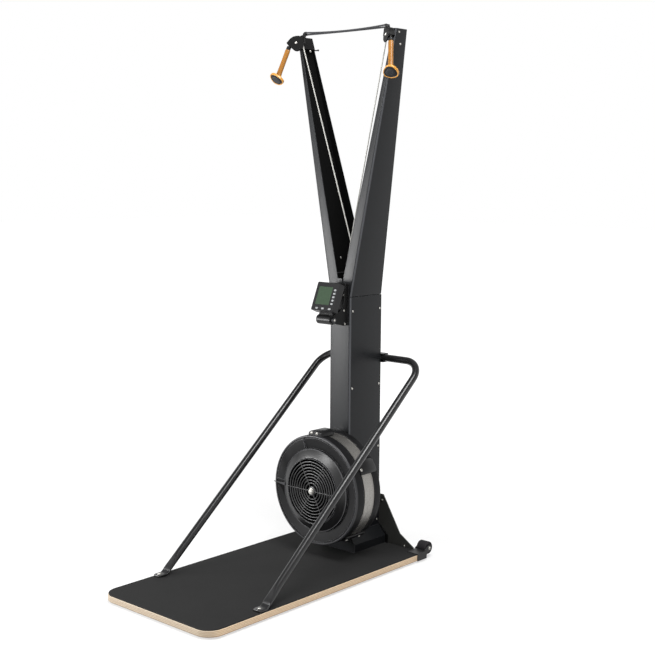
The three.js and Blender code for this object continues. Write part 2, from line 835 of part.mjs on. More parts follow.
// Fan housing
const bandRear = -rearShellDepth;
const bandFront = bandRear - bandDepth;
const shellFront = bandFront - frontShellDepth;
const grilleFront = shellFront - grilleRise;

function makeFanHousing() {
  const segments = shellSegments;
  const inner = fanRadius - shellWall;
  const rear = turned([
    [axleRadius * 2, -seatGap], [fanRadius - shellWall, -seatGap], [fanRadius, -seatGap - shellWall],
    [fanRadius, bandRear], [inner - shellWall, bandRear], [inner - shellWall, -seatGap - shellWall],
    [axleRadius * 2, -seatGap - shellWall],
  ], segments);
  node('fan_rear_shell', rear.translate(0, 0, fanHeight), blackPlastic);

  const band = ringAt(bandRadius - sheet / 2, bandRadius, bandFront + seatGap, bandRear - seatGap, segments);
  node('fan_mesh_band', band.translate(0, 0, fanHeight), bandSteel);

  const coneFoot = annulusInner - shellWall;
  const slope = (grilleRise - shellWall) / (coneFoot - grilleRadius);
  const back = grilleFront + grilleThickness;
  const rimY = shellFront + shellWall - slope * (coneFoot - grilleRadius);
  const shell = turned([
    [fanRadius, bandFront], [fanRadius, shellFront + 2 * shellWall],
    [fanRadius - shellWall, shellFront + shellWall / 2],
    [fanRadius - 2 * shellWall, shellFront], [annulusInner, shellFront],
    [annulusInner, shellFront + shellWall], [coneFoot, shellFront + shellWall],
    [grilleRadius, rimY], [grilleRadius, grilleFront], [grilleRadius - grilleBar, grilleFront],
    [grilleRadius - grilleBar, rimY + shellWall],
    [coneFoot - shellWall, shellFront + annulusThickness], [inner - shellWall, shellFront + annulusThickness],
    [inner - shellWall, bandFront],
  ], segments);
  const scale = scaleRecess();
  const pieces = [];
  for (let k = 1; k <= grilleRings; k++) {
    const r = fanHubRadius + ((grilleRadius - grilleBar - fanHubRadius) * k) / (grilleRings + 1);
    const [low, high] = [r - grilleBar / 2, r + grilleBar / 2];
    pieces.push(ringAt(low, high, grilleFront + seatGap, back - seatGap, ringSegments));
  }
  for (let k = 0; k < spokeCount; k++) {
    const reach = grilleRadius - grilleBar / 2;
    const [front, rear] = [grilleFront + seatGap / 2, back - seatGap / 2];
    const spoke = block(-reach, reach, front, rear, -spokeWidth / 2, spokeWidth / 2);
    pieces.push(spoke.rotateY((Math.PI * k) / spokeCount));
  }
  pieces.push(rod(fanHubRadius, grilleFront, grilleFront + bearingWidth + grilleThickness, 32));
  const bore = rod(bearingRadius + seatGap, grilleFront + grilleThickness, grilleFront + overrun * 5, 24);
  const way = rod(axleRadius + runGap, grilleFront - overrun, grilleFront + overrun * 5, 24);
  const whole = cut(join(cut(shell, scale), ...pieces), bore, way);
  node('fan_front_shell', whole.translate(0, 0, fanHeight), blackPlastic);
  makeDamper(coneFoot, slope);
}

// The damper's scale stands proud: the rest of the front ring is cut down beside it
function scaleRecess() {
  const r0 = annulusInner - overrun;
  const r1 = fanRadius - 3 * shellWall;
  const shape = new THREE.Shape();
  shape.absarc(0, 0, r1, scaleStartAngle, scaleEndAngle, false);
  shape.absarc(0, 0, r0, scaleEndAngle, scaleStartAngle, true);
  const depth = overrun + scaleDepth;
  const geometry = new THREE.ExtrudeGeometry(shape, { depth, bevelEnabled: false, curveSegments: 36 });
  return geometry.rotateX(Math.PI / 2).translate(0, shellFront + scaleDepth, 0);
}

// Damper: a conical ring that turns on the front shell, with a pointed lever
function makeDamper(coneFoot, slope) {
  const gap = runGap;
  const skinFoot = annulusInner * Math.cos(Math.PI / shellSegments) - gap;
  const y = (r) => shellFront + shellWall - slope * (coneFoot - r) - gap;
  const skin = turned([
    [grilleRadius + gap, y(grilleRadius) - damperSkin], [grilleRadius + gap, y(grilleRadius + gap)],
    [coneFoot, y(coneFoot)], [skinFoot, y(coneFoot)], [skinFoot, y(coneFoot) - damperSkin],
  ], shellSegments);
  const tip = damperTipRadius;
  const base = skinFoot - damperSkin;
  const outline = [
    [-base * Math.cos(damperBaseAngle), -base * Math.sin(damperBaseAngle)],
    [-base, 0], [-base, shellWall], [-tip, shellWall / 3], [-tip, -shellWall / 3],
  ];
  const lever = plate(outline, leverThickness).rotateX(Math.PI / 2).translate(0, shellFront - gap, 0);
  const ring = join(skin, lever);
  node('damper_ring', ring.translate(0, 0, fanHeight), blackPlastic);
}

function makeFanClamps() {
  for (const { name, angle, width, front, rear } of clamps) {
    const outer = fanRadius + clampThickness;
    const strap = block(0, outer, -front, -rear, -width / 2, width / 2);
    const shell = rod(fanRadius + seatGap, -front - overrun, overrun, shellSegments * 2);
    const clamp = cut(strap, shell);
    clamp.rotateY(-THREE.MathUtils.degToRad(angle)).translate(0, 0, fanHeight);
    node(`fan_clamp_${name}`, clamp, blackPlastic);
  }
}

// Fan rotor, axle, bearings and drums, all on one shaft
function makeRotor() {
  const back = -rotorBackGap;
  const pieces = [
    ringAt(axleRadius + seatGap, rotorHub, back - bladeDepth, back, 24),
    ringAt(rotorHub - sheet, rotorRadius, back - rotorDisc, back, 48),
  ];
  for (let k = 0; k < bladeCount; k++) {
    const blade = block(bladeInner, rotorRadius - sheet, back - bladeDepth, back - rotorDisc / 2,
      -bladeThickness / 2, bladeThickness / 2);
    pieces.push(blade.rotateY((2 * Math.PI * k) / bladeCount));
  }
  node('fan_rotor', join(...pieces).translate(0, 0, fanHeight), blackPlastic);

  const nutBack = grilleFront - seatGap;
  const shaft = turned([
    [0, nutBack - hubNutHeight], [hubNutRadius * hubNutTopShare, nutBack - hubNutHeight],
    [hubNutRadius, nutBack - hubNutHeight * hubNutEdgeShare], [hubNutRadius, nutBack], [axleRadius, nutBack],
    [axleRadius, columnDepth - sheet - seatGap], [0, columnDepth - sheet - seatGap],
  ], 24);
  node('fan_axle', shaft.translate(0, 0, fanHeight), steel);

  const frontSeat = grilleFront + grilleThickness + seatGap;
  const rearSeat = columnDepth - sheet - bearingWidth;
  for (const [name, y] of [['front', frontSeat], ['rear', rearSeat]]) {
    const race = ringAt(axleRadius + seatGap, bearingRadius, y, y + bearingWidth - seatGap, 24);
    node(`bearing_${name}`, race.translate(0, 0, fanHeight), steel);
  }
}

function makeDrum(sideName, side) {
  const flange = drumWidth / 2;
  const floor = drumRadius * Math.cos((Math.PI * wrapTurns) / wrapSteps) - cordRadius - seatGap;
  const drum = turned([
    [axleRadius + seatGap, -flange], [drumRim, -flange], [floor, -cordRadius - seatGap],
    [floor, cordRadius + seatGap], [drumRim, flange], [axleRadius + seatGap, flange],
  ], 24);
  drum.translate(0, cordLineY[side < 0 ? 0 : 1], fanHeight);
  node(`cord_drum_${sideName}`, drum, blackPlastic);
}

// Support tube: two slanted legs and a bar behind the column, in one bend
function makeSupportTube() {
  const barY = columnDepth + tubeRadius + seatGap;
  const top = new THREE.Vector3(tubeTopX, barY, tubeTopZ);
  const foot = new THREE.Vector3(tubeFootX, tubeFootY, floorLevel + tabThickness / 2);
  const legDirection = foot.clone().sub(top).normalize();
  const legStart = foot.clone().addScaledVector(legDirection, -tubeFootLength);
  const bend = (side) => {
    const inwards = new THREE.Vector3(-side * tubeBend, 0, 0);
    const down = place(legDirection, side).multiplyScalar(tubeBend);
    const centre = place(top, side).add(inwards).add(down);
    const points = [];
    for (let i = 0; i <= bendSteps; i++) {
      const turn = (Math.PI * i) / (2 * bendSteps);
      const out = centre.clone().addScaledVector(inwards, -Math.cos(turn));
      points.push(out.addScaledVector(down, -Math.sin(turn)));
    }
    return points;
  };
  const right = [place(legStart, 1), ...bend(1)];
  const left = [place(legStart, -1), ...bend(-1)].reverse();
  const legs = tube([...right, ...left], tubeRadius, 12);
  const feet = sides.map(([, side]) => {
    const shape = tubeFoot(legStart, foot);
    return side < 0 ? mirrored(shape) : shape;
  });
  node('support_tube', join(legs, ...feet), blackPaint);

  const clampInner = half + seatGap;
  const saddle = block(-clampInner - 4 * sheet, clampInner + 4 * sheet, barY - tubeRadius + seatGap,
    barY + tubeRadius + sheet, tubeTopZ - tubeRadius - sheet, tubeTopZ + tubeRadius + sheet);
  const way = block(-boardWidth, boardWidth, barY - 2 * tubeRadius, barY, tubeTopZ - tubeRadius - seatGap,
    tubeTopZ + tubeRadius + seatGap);
  const groove = new THREE.CylinderGeometry(tubeRadius + seatGap, tubeRadius + seatGap, boardWidth, 24);
  groove.rotateZ(Math.PI / 2).translate(0, barY, tubeTopZ);
  node('tube_clamp', cut(saddle, way, groove), blackPaint);
}

// The end of a leg is pressed flat and bolted down through a rounded tab
function tubeFoot(legStart, foot) {
  const rings = [];
  const steps = 4;
  const along = foot.clone().sub(legStart).normalize();
  const sideWay = new THREE.Vector3(1, 0, 0);
  const upWay = new THREE.Vector3().crossVectors(sideWay, along).normalize();
  const forward = new THREE.Vector3(0, -1, 0);
  for (let k = 0; k <= steps + 2; k++) {
    const t = Math.min(k / steps, 1);
    const wide = THREE.MathUtils.lerp(tubeRadius, tabWidth / 2, t);
    const thick = THREE.MathUtils.lerp(tubeRadius, tabThickness / 2 - seatGap / 4, t);
    const centre = legStart.clone().addScaledVector(along, tubeFootLength * Math.min(k / steps, 1) - 1);
    centre.z = Math.max(centre.z, floorLevel + tabThickness / 2);
    if (k > steps) centre.addScaledVector(forward, (tabLead * (k - steps)) / 2);
    const up = upWay.clone().lerp(new THREE.Vector3(0, 0, 1), t).normalize();
    const narrow = k === steps + 2 ? tabTipShare : 1;
    const ring = [];
    for (let i = 0; i < 12; i++) {
      const turn = (2 * Math.PI * i) / 12;
      ring.push(centre.clone().addScaledVector(sideWay, wide * narrow * Math.cos(turn))
        .addScaledVector(up, thick * Math.sin(turn)));
    }
    rings.push(ring);
  }
  return loft(rings);
}

// Rear foot: gusset plate, shoe round the column's base, and two wheels in brackets
function makeRearFoot() {
  const y = columnDepth + seatGap;
  const z0 = floorLevel;
  const outline = [
    [-gussetToeX, z0], [gussetToeX, z0], [gussetToeX, z0 + gussetToeHeight], [gussetKneeX, gussetKneeZ],
    [gussetTopX, gussetTopZ], [-gussetTopX, gussetTopZ], [-gussetKneeX, gussetKneeZ],
    [-gussetToeX, z0 + gussetToeHeight],
  ];
  const gusset = plate(outline, gussetThickness).rotateX(Math.PI / 2).translate(0, y + gussetThickness, 0);
  node('gusset_plate', gusset, blackPaint);

  const profile = [
    [-shoeHalfWidth, z0], [shoeHalfWidth, z0], [shoeHalfWidth, z0 + shoeWallHeight],
    [half + shoeLip, z0 + shoeHeight], [-half - shoeLip, z0 + shoeHeight],
    [-shoeHalfWidth, z0 + shoeWallHeight],
  ];
  const shoeDepth = columnDepth + seatGap + sheet;
  const shoe = plate(profile, shoeDepth).rotateX(Math.PI / 2).translate(0, columnDepth, 0);
  const space = block(-half - seatGap, half + seatGap, -seatGap, columnDepth + overrun, z0 - overrun,
    z0 + shoeHeight + overrun);
  const belowFan = block(-boardWidth, boardWidth, -sheet - overrun, -seatGap / 2,
    fanHeight - fanRadius - shoeFrontGap, fanHeight);
  node('column_shoe', cut(shoe, space, belowFan), blackPaint);

  for (const [sideName, side] of sides) makeWheel(sideName, side);
}

function makeWheel(sideName, side) {
  const x1 = boardWidth / 2 + seatGap;
  const y1 = boardRear + seatGap;
  const z1 = floorLevel + sheet;
  const earX = [wheelX - wheelWidth / 2 - runGap - sheet, wheelX + wheelWidth / 2 + runGap];
  const top = block(bracketInnerX, x1 + sheet, bracketFrontY, y1 + sheet, floorLevel, z1);
  const flank = block(x1, x1 + sheet, bracketFrontY, y1 + sheet, footHeight, z1);
  const back = block(earX[0], x1 + sheet, y1, y1 + sheet, footHeight, z1);
  const ear = (x) => {
    const shape = new THREE.Shape();
    shape.moveTo(y1, footHeight);
    shape.lineTo(wheelY, wheelZ - earRadius);
    shape.absarc(wheelY, wheelZ, earRadius, -Math.PI / 2, Math.PI / 2);
    shape.lineTo(y1, z1);
    const settings = { depth: sheet, bevelEnabled: false, curveSegments: 8 };
    const geometry = new THREE.ExtrudeGeometry(shape, settings);
    return geometry.rotateX(Math.PI / 2).rotateZ(Math.PI / 2).translate(x, 0, 0);
  };
  const pinLength = earX[1] - earX[0] + 2 * sheet;
  const pin = new THREE.CylinderGeometry(wheelPinRadius, wheelPinRadius, pinLength, 16);
  pin.rotateZ(Math.PI / 2).translate(wheelX + sheet / 2, wheelY, wheelZ);
  const bracket = join(top, flank, back, ...earX.map(ear), pin);
  node(`wheel_bracket_${sideName}`, side < 0 ? mirrored(bracket) : bracket, blackPaint);

  const w = wheelWidth / 2;
  const wheel = turned([
    [wheelPinRadius + runGap, -w], [wheelRadius - sheet, -w], [wheelRadius, -w + sheet],
    [wheelRadius, w - sheet], [wheelRadius - sheet, w], [wheelPinRadius + runGap, w],
  ], 24);
  wheel.rotateZ(Math.PI / 2).translate(side * wheelX, wheelY, wheelZ);
  node(`wheel_${sideName}`, wheel, blackRubber);
}

// Monitor, in a frame on its face: u across, v up the face, w out of the face
const faceUp = new THREE.Vector3(0, Math.sin(monitorTilt), Math.cos(monitorTilt));
const faceOutward = new THREE.Vector3(0, -Math.cos(monitorTilt), Math.sin(monitorTilt));
const faceCentre = new THREE.Vector3(0, monitorFaceTopY, monitorFaceTopZ)
  .addScaledVector(faceUp, -monitorHeight / 2);

function onFace(geometry) {
  return faceOut(mergeVertices(geometry.deleteAttribute('normal').deleteAttribute('uv'), 1e-3)
    .applyMatrix4(frame(new THREE.Vector3(1, 0, 0), faceUp, faceOutward, faceCentre)));
}

function facePlate(u, v, width, height, w0, w1, corner) {
  const shape = roundedRectangle(width, height, corner);
  const depth = w1 - w0;
  const geometry = new THREE.ExtrudeGeometry(shape, { depth, bevelEnabled: false, curveSegments: 2 });
  return geometry.translate(u, v, w0);
}

function buttonPlaces() {
  const list = [];
  const right = monitorWidth / 2 - sideButtonFromRight;
  const top = monitorHeight / 2 - sideButtonFromTop;
  for (let k = 0; k < sideButtons; k++) {
    list.push([`side_${k + 1}`, right, top - sideButtonPitch * k, ...sideButtonSize]);
  }
  const low = -monitorHeight / 2 + lowButtonFromBottom;
  lowButtonShares.forEach((share, k) => {
    list.push([`low_${k + 1}`, share * monitorWidth, low, ...lowButtonSize]);
  });
  return list;
}

function makeMonitor() {
  const lensU = -monitorWidth / 2 + lensFromLeft + lensWidth / 2;
  const lensV = monitorHeight / 2 - lensFromTop - lensHeight / 2;
  const body = facePlate(0, 0, monitorWidth, monitorHeight, -monitorDepth, 0, monitorCorner);
  const wells = [facePlate(lensU, lensV, lensWidth + 2 * seatGap, lensHeight + 2 * seatGap,
    -lensThickness - seatGap, overrun, sheet)];
  for (const [, u, v, width, height] of buttonPlaces()) {
    wells.push(facePlate(u, v, width + 2 * runGap, height + 2 * runGap, -buttonWell, overrun, height / 3));
  }
  const shaped = cut(body, ...wells);
  node('monitor_case', onFace(joinNeck(shaped)), blackPlastic);
  const lens = facePlate(lensU, lensV, lensWidth, lensHeight, -lensThickness, 0, sheet);
  node('monitor_lens', onFace(lens), lensGlass);
  for (const [name, u, v, width, height] of buttonPlaces()) {
    const cap = facePlate(u, v, width, height, buttonProud - buttonHeight + seatGap, buttonProud, height / 3);
    node(`button_${name}`, onFace(cap), buttonGrey);
  }
}

// Two necks run from the case's lower edge to the battery tube
function joinNeck(shaped) {
  const down = faceCentre.clone().sub(new THREE.Vector3(0, pivotY, pivotZ));
  const v = -down.dot(faceUp);
  const w = -down.dot(faceOutward);
  const neck = facePlate(0, (v - monitorHeight / 2) / 2, monitorWidth * neckWidthShare,
    -monitorHeight / 2 - v, w - batteryRadius / 2, w + batteryRadius / 2, sheet);
  const barrel = new THREE.CylinderGeometry(batteryRadius, batteryRadius, 2 * batteryHalfLength, 28);
  barrel.rotateZ(Math.PI / 2).translate(0, v, w);
  const bore = new THREE.CylinderGeometry(guidePinRadius + runGap, guidePinRadius + runGap,
    2 * batteryHalfLength + 2 * overrun, 16);
  bore.rotateZ(Math.PI / 2).translate(0, v, w);
  return cut(join(shaped, neck, barrel), bore);
}

// The monitor's bracket: a plate on the column with two cheeks down to the pivot
function makeMonitorBracket() {
  const cheekX = batteryHalfLength + runGap;
  const back = block(
    -bracketHalfWidth, bracketHalfWidth, -sheet - seatGap, -seatGap, bracketBottom, bracketTop,
  );
  const outline = [
    [-seatGap, bracketBottom], [-seatGap, bracketTop], [-bracketDepth * bracketTopShare, bracketTop],
    [-bracketDepth, pivotZ + 2 * batteryRadius], [pivotY - knobRadius, pivotZ + knobRadius],
    [pivotY - knobRadius, pivotZ - knobRadius], [-bracketDepth, bracketBottom],
  ];
  const cheek = (x) => {
    const geometry = plate(outline, sheet);
    return geometry.rotateX(Math.PI / 2).rotateZ(Math.PI / 2).translate(x, 0, 0);
  };
  const wing = (side) => block(Math.min(side * (bracketHalfWidth - sheet), side * (cheekX + sheet)),
    Math.max(side * (bracketHalfWidth - sheet), side * (cheekX + sheet)), -sheet - seatGap, -seatGap,
    bracketBottom, bracketTop);
  const pieces = [back, wing(-1), wing(1), cheek(cheekX), cheek(-cheekX - sheet)];
  const boreRadius = guidePinRadius + seatGap;
  const bores = new THREE.CylinderGeometry(boreRadius, boreRadius, boardWidth, 16);
  bores.rotateZ(Math.PI / 2).translate(0, pivotY, pivotZ);
  node('monitor_bracket', cut(join(...pieces), bores), blackPaint);

  const outerX = cheekX + sheet + seatGap;
  const bolt = turned([
    [0, -outerX - knobLength / 2], [knobRadius * knobBackShare, -outerX - knobLength / 2],
    [knobRadius * knobBackShare, -outerX],
    [guidePinRadius, -outerX], [guidePinRadius, outerX], [knobRadius, outerX],
    [knobRadius, outerX + knobLength], [0, outerX + knobLength],
  ], 20);
  bolt.rotateZ(-Math.PI / 2).translate(0, pivotY, pivotZ);
  node('monitor_pivot_knob', bolt, steel);
}

makePlatform();
makeColumn();
makeArms();
const heads = sides.map(([sideName, side]) => makeHead(sideName, side));
sides.forEach(([sideName, side], k) => {
  makeDriveCord(sideName, side, heads[k]);
  makeHandle(sideName, side, heads[k]);
  makeGuideWheel(sideName, side);
  makeDrum(sideName, side);
});
makeShockCord(heads);
makeFanHousing();
makeFanClamps();
makeRotor();
makeSupportTube();
makeRearFoot();
makeMonitor();
makeMonitorBracket();

// The model's box runs from the board's front edge to the back of the wheels
model.position.y = -(boardFront + wheelY + wheelRadius) / 2;

export default model;
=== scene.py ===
# %% [markdown]
# # A ski trainer, dressed in Blender
#
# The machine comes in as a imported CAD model: 59 plain solids, each on the body that it moves with. This
# script keeps the solids whose shape is already right and gives them soft edges and real finishes. Round
# and moulded pieces are built again with more detail, from the same sizes, and take their solids' place.
#
# Sizes are written in millimetres in the column's own frame: X is across, Y is 0 at the column's front
# face, Z is 0 on the floor. One helper turns them into metres in the model's frame.

import math

import bmesh
import bpy
from mathutils import Matrix, Vector


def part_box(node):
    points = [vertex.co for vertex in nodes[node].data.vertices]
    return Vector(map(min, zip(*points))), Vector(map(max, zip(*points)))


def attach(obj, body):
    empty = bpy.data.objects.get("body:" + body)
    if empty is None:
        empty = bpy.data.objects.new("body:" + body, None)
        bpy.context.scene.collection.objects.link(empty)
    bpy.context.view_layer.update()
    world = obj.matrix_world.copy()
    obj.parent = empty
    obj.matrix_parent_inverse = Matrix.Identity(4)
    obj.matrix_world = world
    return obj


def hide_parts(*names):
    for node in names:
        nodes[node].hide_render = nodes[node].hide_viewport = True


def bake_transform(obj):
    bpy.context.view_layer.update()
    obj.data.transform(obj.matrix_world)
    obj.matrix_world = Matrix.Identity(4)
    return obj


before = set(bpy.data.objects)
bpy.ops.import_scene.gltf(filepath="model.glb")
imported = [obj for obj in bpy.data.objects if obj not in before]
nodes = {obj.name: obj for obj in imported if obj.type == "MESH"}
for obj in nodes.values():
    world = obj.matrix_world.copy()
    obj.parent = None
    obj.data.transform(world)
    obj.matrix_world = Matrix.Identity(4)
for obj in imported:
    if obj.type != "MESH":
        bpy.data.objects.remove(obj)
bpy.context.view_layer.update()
SIDES = (("left", -1), ("right", 1))

# %% [markdown]
# ## Millimetres on the column, metres in the model
#
# Everything on this machine is measured from the column, so its front face is a better zero than the middle
# of the model's box. The column's own solid says where that face is.

# %% The column's frame
MM = 0.001
ACROSS, DEPTHWISE, UP = Vector((1, 0, 0)), Vector((0, 1, 0)), Vector((0, 0, 1))
FORWARDS = Vector((0, -1, 0))
column_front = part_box("column_shell")[0].y


def to_model(point):
    x, y, z = point
    return Vector((x * MM, y * MM + column_front, z * MM))


def box_mm(name):
    """The lowest and highest corners of a CAD node, in millimetres in the column's frame."""
    return [Vector((c.x / MM, (c.y - column_front) / MM, c.z / MM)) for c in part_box(name)]


column_low, column_high = box_mm("column_shell")
half_column = column_high.x
column_depth = column_high.y
floor_level = column_low.z
print("column: half width", round(half_column, 1), "depth", round(column_depth, 1), "foot",
      round(floor_level, 1))

# %% [markdown]
# ## The camera
#
# The photograph was taken from the front right of the machine, a little above its middle. The camera's
# place and lens were solved from the machine's straight edges, so the same pixels show the same points.

# %% Camera
camera_place = Vector((3.22353, -3.30532, 1.60251))
camera_lens, sensor_width = 65.56, 36
camera_turn, camera_tilt, camera_roll = (math.radians(a) for a in (41.87, 82.70, 0.39))

camera_data = bpy.data.cameras.new("photo_camera")
camera_data.lens = camera_lens
camera_data.sensor_width = sensor_width
camera = bpy.data.objects.new("photo_camera", camera_data)
bpy.context.scene.collection.objects.link(camera)
aim = Matrix.Rotation(camera_turn, 4, "Z") @ Matrix.Rotation(camera_tilt, 4, "X")
camera.matrix_world = Matrix.Translation(camera_place) @ (aim @ Matrix.Rotation(camera_roll, 4, "Z"))
bpy.context.scene.camera = camera
bpy.context.scene.view_settings.view_transform = "Standard"
print("camera at", [round(v, 3) for v in camera_place])

# %% [markdown]
# ## Mesh helpers
#
# Nearly every piece of the machine is one of four shapes: a skin over a row of rings, a body turned on an
# axis, a tube along a path, or a plate with an outline. Modelling each by hand would work too. One helper
# for each shape keeps the pieces short, and a size that changes moves every point that hangs on it.

# %% Pieces from points and faces
WELD_GAP = 1e-6
SHARP_ANGLE = 35


def new_piece(name, points, faces, finish, body="frame", stands_for=(), slot=None, sharp=SHARP_ANGLE,
              uv=None):
    """A mesh piece from points in millimetres that rides on a CAD body."""
    mesh = bpy.data.meshes.new(name)
    mesh.from_pydata([to_model(p) for p in points], [], faces)
    if uv is not None:
        layer = mesh.uv_layers.new(name="UVMap")
        for loop in mesh.loops:
            layer.data[loop.index].uv = uv[loop.vertex_index]
    shape = bmesh.new()
    shape.from_mesh(mesh)
    bmesh.ops.remove_doubles(shape, verts=shape.verts, dist=WELD_GAP)
    bmesh.ops.recalc_face_normals(shape, faces=shape.faces)
    shape.to_mesh(mesh)
    shape.free()
    mesh.shade_smooth()
    mesh.set_sharp_from_angle(angle=math.radians(sharp))
    piece = bpy.data.objects.new(name, mesh)
    bpy.context.scene.collection.objects.link(piece)
    mesh.materials.append(finish)
    if body:
        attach(piece, body)
    if stands_for:
        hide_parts(*stands_for)
    return piece


def grid_faces(rings, count, closed=True):
    """Quads between rings of points. Closed rings also get a cap on each end."""
    faces = []
    reach = count if closed else count - 1
    for k in range(rings - 1):
        for i in range(reach):
            j = (i + 1) % count
            faces.append((k * count + i, k * count + j, (k + 1) * count + j, (k + 1) * count + i))
    if closed:
        faces.append(tuple(range(count - 1, -1, -1)))
        faces.append(tuple((rings - 1) * count + i for i in range(count)))
    return faces


def skin(name, rings, finish, **words):
    """A skin over a row of rings that all have as many points."""
    points = [p for ring in rings for p in ring]
    return new_piece(name, points, grid_faces(len(rings), len(rings[0])), finish, **words)


print("point and face helpers ready")

# %% [markdown]
# ## Turned bodies and tubes
#
# Blender's Screw modifier turns a profile, and a curve with a bevel makes a tube. Both are done with points
# here, so that every ring lies where the CAD has it and each tube knows its length for the pattern on it.

# %% Turned bodies
def turns_round(count):
    """Evenly spaced turns round a circle, in radians."""
    return [2 * math.pi * i / count for i in range(count)]


def hexagon_reach(turn):
    """How far a hexagon reaches at a turn, as a share of its corners' reach."""
    return math.cos(math.pi / 6) / math.cos(turn % (math.pi / 3) - math.pi / 6)


def frame_at(place, along, side_hint=ACROSS):
    """Two directions square to an axis, and the axis itself."""
    along = along.normalized()
    side = side_hint - along * side_hint.dot(along)
    if side.length < 0.1:
        side = DEPTHWISE - along * along.y
    side.normalize()
    return place, side, along.cross(side), along


def turned_piece(name, profile, axis, finish, segments=64, closed=True, **words):
    """A body turned about an axis from (radius, distance along the axis) pairs."""
    place, side, up, along = axis
    rings = []
    for turn in turns_round(segments):
        out = side * math.cos(turn) + up * math.sin(turn)
        rings.append([place + out * r + along * d for r, d in profile])
    points = [p for ring in rings for p in ring]
    count = len(profile)
    faces = []
    steps = count if closed else count - 1
    for i in range(segments):
        j = (i + 1) % segments
        for k in range(steps):
            m = (k + 1) % count
            faces.append((i * count + k, j * count + k, j * count + m, i * count + m))
    return new_piece(name, points, faces, finish, **words)


print("turning helpers ready")

# %% Tubes along a path
def path_frames(path):
    """The side and up directions along a path, carried on without twist."""
    side, frames = None, []
    for k, point in enumerate(path):
        along = (path[min(k + 1, len(path) - 1)] - path[max(k - 1, 0)]).normalized()
        if side is None:
            side = DEPTHWISE if abs(along.x) > math.sqrt(0.5) else ACROSS
        side = (side - along * side.dot(along)).normalized()
        frames.append((point, side.copy(), along.cross(side)))
    return frames


def tube_rings(path, radius, sides):
    """A circle of points at each point of a path."""
    return [[point + side * radius * math.cos(t) + up * radius * math.sin(t) for t in turns_round(sides)]
            for point, side, up in path_frames(path)]


def tube_piece(name, path, radius, finish, sides=16, **words):
    """A round tube along a path, with its length in the second UV."""
    rings = [ring + ring[:1] for ring in tube_rings(path, radius, sides)]
    lengths = [0.0]
    for a, b in zip(path, path[1:]):
        lengths.append(lengths[-1] + (b - a).length * MM)
    uv = [(i / sides, length) for length in lengths for i in range(sides + 1)]
    points = [p for ring in rings for p in ring]
    faces = grid_faces(len(rings), sides + 1, closed=False)
    last = len(points) - sides - 1
    faces += [tuple(range(sides - 1, -1, -1)), tuple(last + i for i in range(sides))]
    return new_piece(name, points, faces, finish, uv=uv, **words)


print("tube helpers ready")

# %% [markdown]
# ## Outlines, plates and soft edges
#
# Sheet and moulded pieces are drawn as an outline with a radius at each corner, as a draughtsman would, and
# pushed to their thickness. A small bevel then stands for the edge that no real tool leaves sharp.

# %% Outlines, plates and bevels
EDGE_ANGLE = 30


def rounded(corners, radii, steps=4):
    """A closed outline with its corners rounded. A radius of 0 keeps the corner."""
    outline = []
    for k, corner in enumerate(corners):
        here = Vector(corner)
        before, after = Vector(corners[k - 1]), Vector(corners[(k + 1) % len(corners)])
        a, b = (before - here).normalized(), (after - here).normalized()
        radius = radii[k] if isinstance(radii, (list, tuple)) else radii
        half_angle = a.angle(b) / 2
        if radius <= 0 or half_angle > math.pi / 2 - 0.01:
            outline.append(here)
            continue
        centre = here + (a + b).normalized() * (radius / math.sin(half_angle))
        start = here + a * (radius / math.tan(half_angle)) - centre
        stop = here + b * (radius / math.tan(half_angle)) - centre
        sweep = start.angle_signed(stop)
        for i in range(steps + 1):
            outline.append(centre + Matrix.Rotation(-sweep * i / steps, 2) @ start)
    return outline


def plate_piece(name, outline, thickness, finish, u, v, w, place, bevel=0.6, **words):
    """A flat plate: an outline in the u-v plane, thick along w, with rounded edges."""
    rings = [[place + u * p[0] + v * p[1] + w * depth for p in outline] for depth in (0, thickness)]
    piece = skin(name, rings, finish, **words)
    soften(piece, bevel)
    return piece


def soften(piece, width, segments=3):
    """Rounds the sharp edges of a piece with a bevel."""
    bevel = piece.modifiers.new("edges", "BEVEL")
    bevel.width = width * MM
    bevel.segments = segments
    bevel.limit_method = "ANGLE"
    bevel.angle_limit = math.radians(EDGE_ANGLE)
    bevel.harden_normals = True
    bevel.miter_outer = "MITER_ARC"


def second_finish(piece, finish, inside):
    """Gives another finish to the faces whose centres pass a test, in millimetres."""
    piece.data.materials.append(finish)
    for face in piece.data.polygons:
        x, y, z = face.center
        if inside(x / MM, (y - column_front) / MM, z / MM):
            face.material_index = len(piece.data.materials) - 1


print("outline and plate helpers ready")

# %% [markdown]
# ## Carried-over solids
#
# Plates, brackets and the monitor have the right shape already, so making them again would gain nothing.
# But real sheet metal and mouldings have no razor edges. Each of these solids gets its split corners
# welded, a small bevel that catches the light, and its finish.

# %% Dressing a CAD node
SPLIT_CORNER_GAP = 1e-5


def dress(name, finish, width, segments=3):
    """Welds a CAD node's split corners, rounds its edges, and gives it a finish.

    The last modifier keeps sharp edges sharp: it works on the mesh that the weld and the bevel make.
    """
    node = nodes[name]
    mesh = node.data
    if "custom_normal" in mesh.attributes:
        mesh.attributes.remove(mesh.attributes["custom_normal"])
    mesh.materials.clear()
    mesh.materials.append(finish)
    weld = node.modifiers.new("weld", "WELD")
    weld.merge_threshold = SPLIT_CORNER_GAP
    mesh.shade_smooth()
    soften(node, width, segments)
    split = node.modifiers.new("corners", "EDGE_SPLIT")
    split.split_angle = math.radians(SHARP_ANGLE)


print("dressing helper ready")


# %% [markdown]
# ## Shared surface effects
#
# No surface on the machine is one flat colour. Powder coat has a fine orange-peel, moulded plastic a dull
# grain, and cords a weave. Each effect that more than one finish uses is a node group with named values.

# %% Node tools
PER_METRE = 1000.0


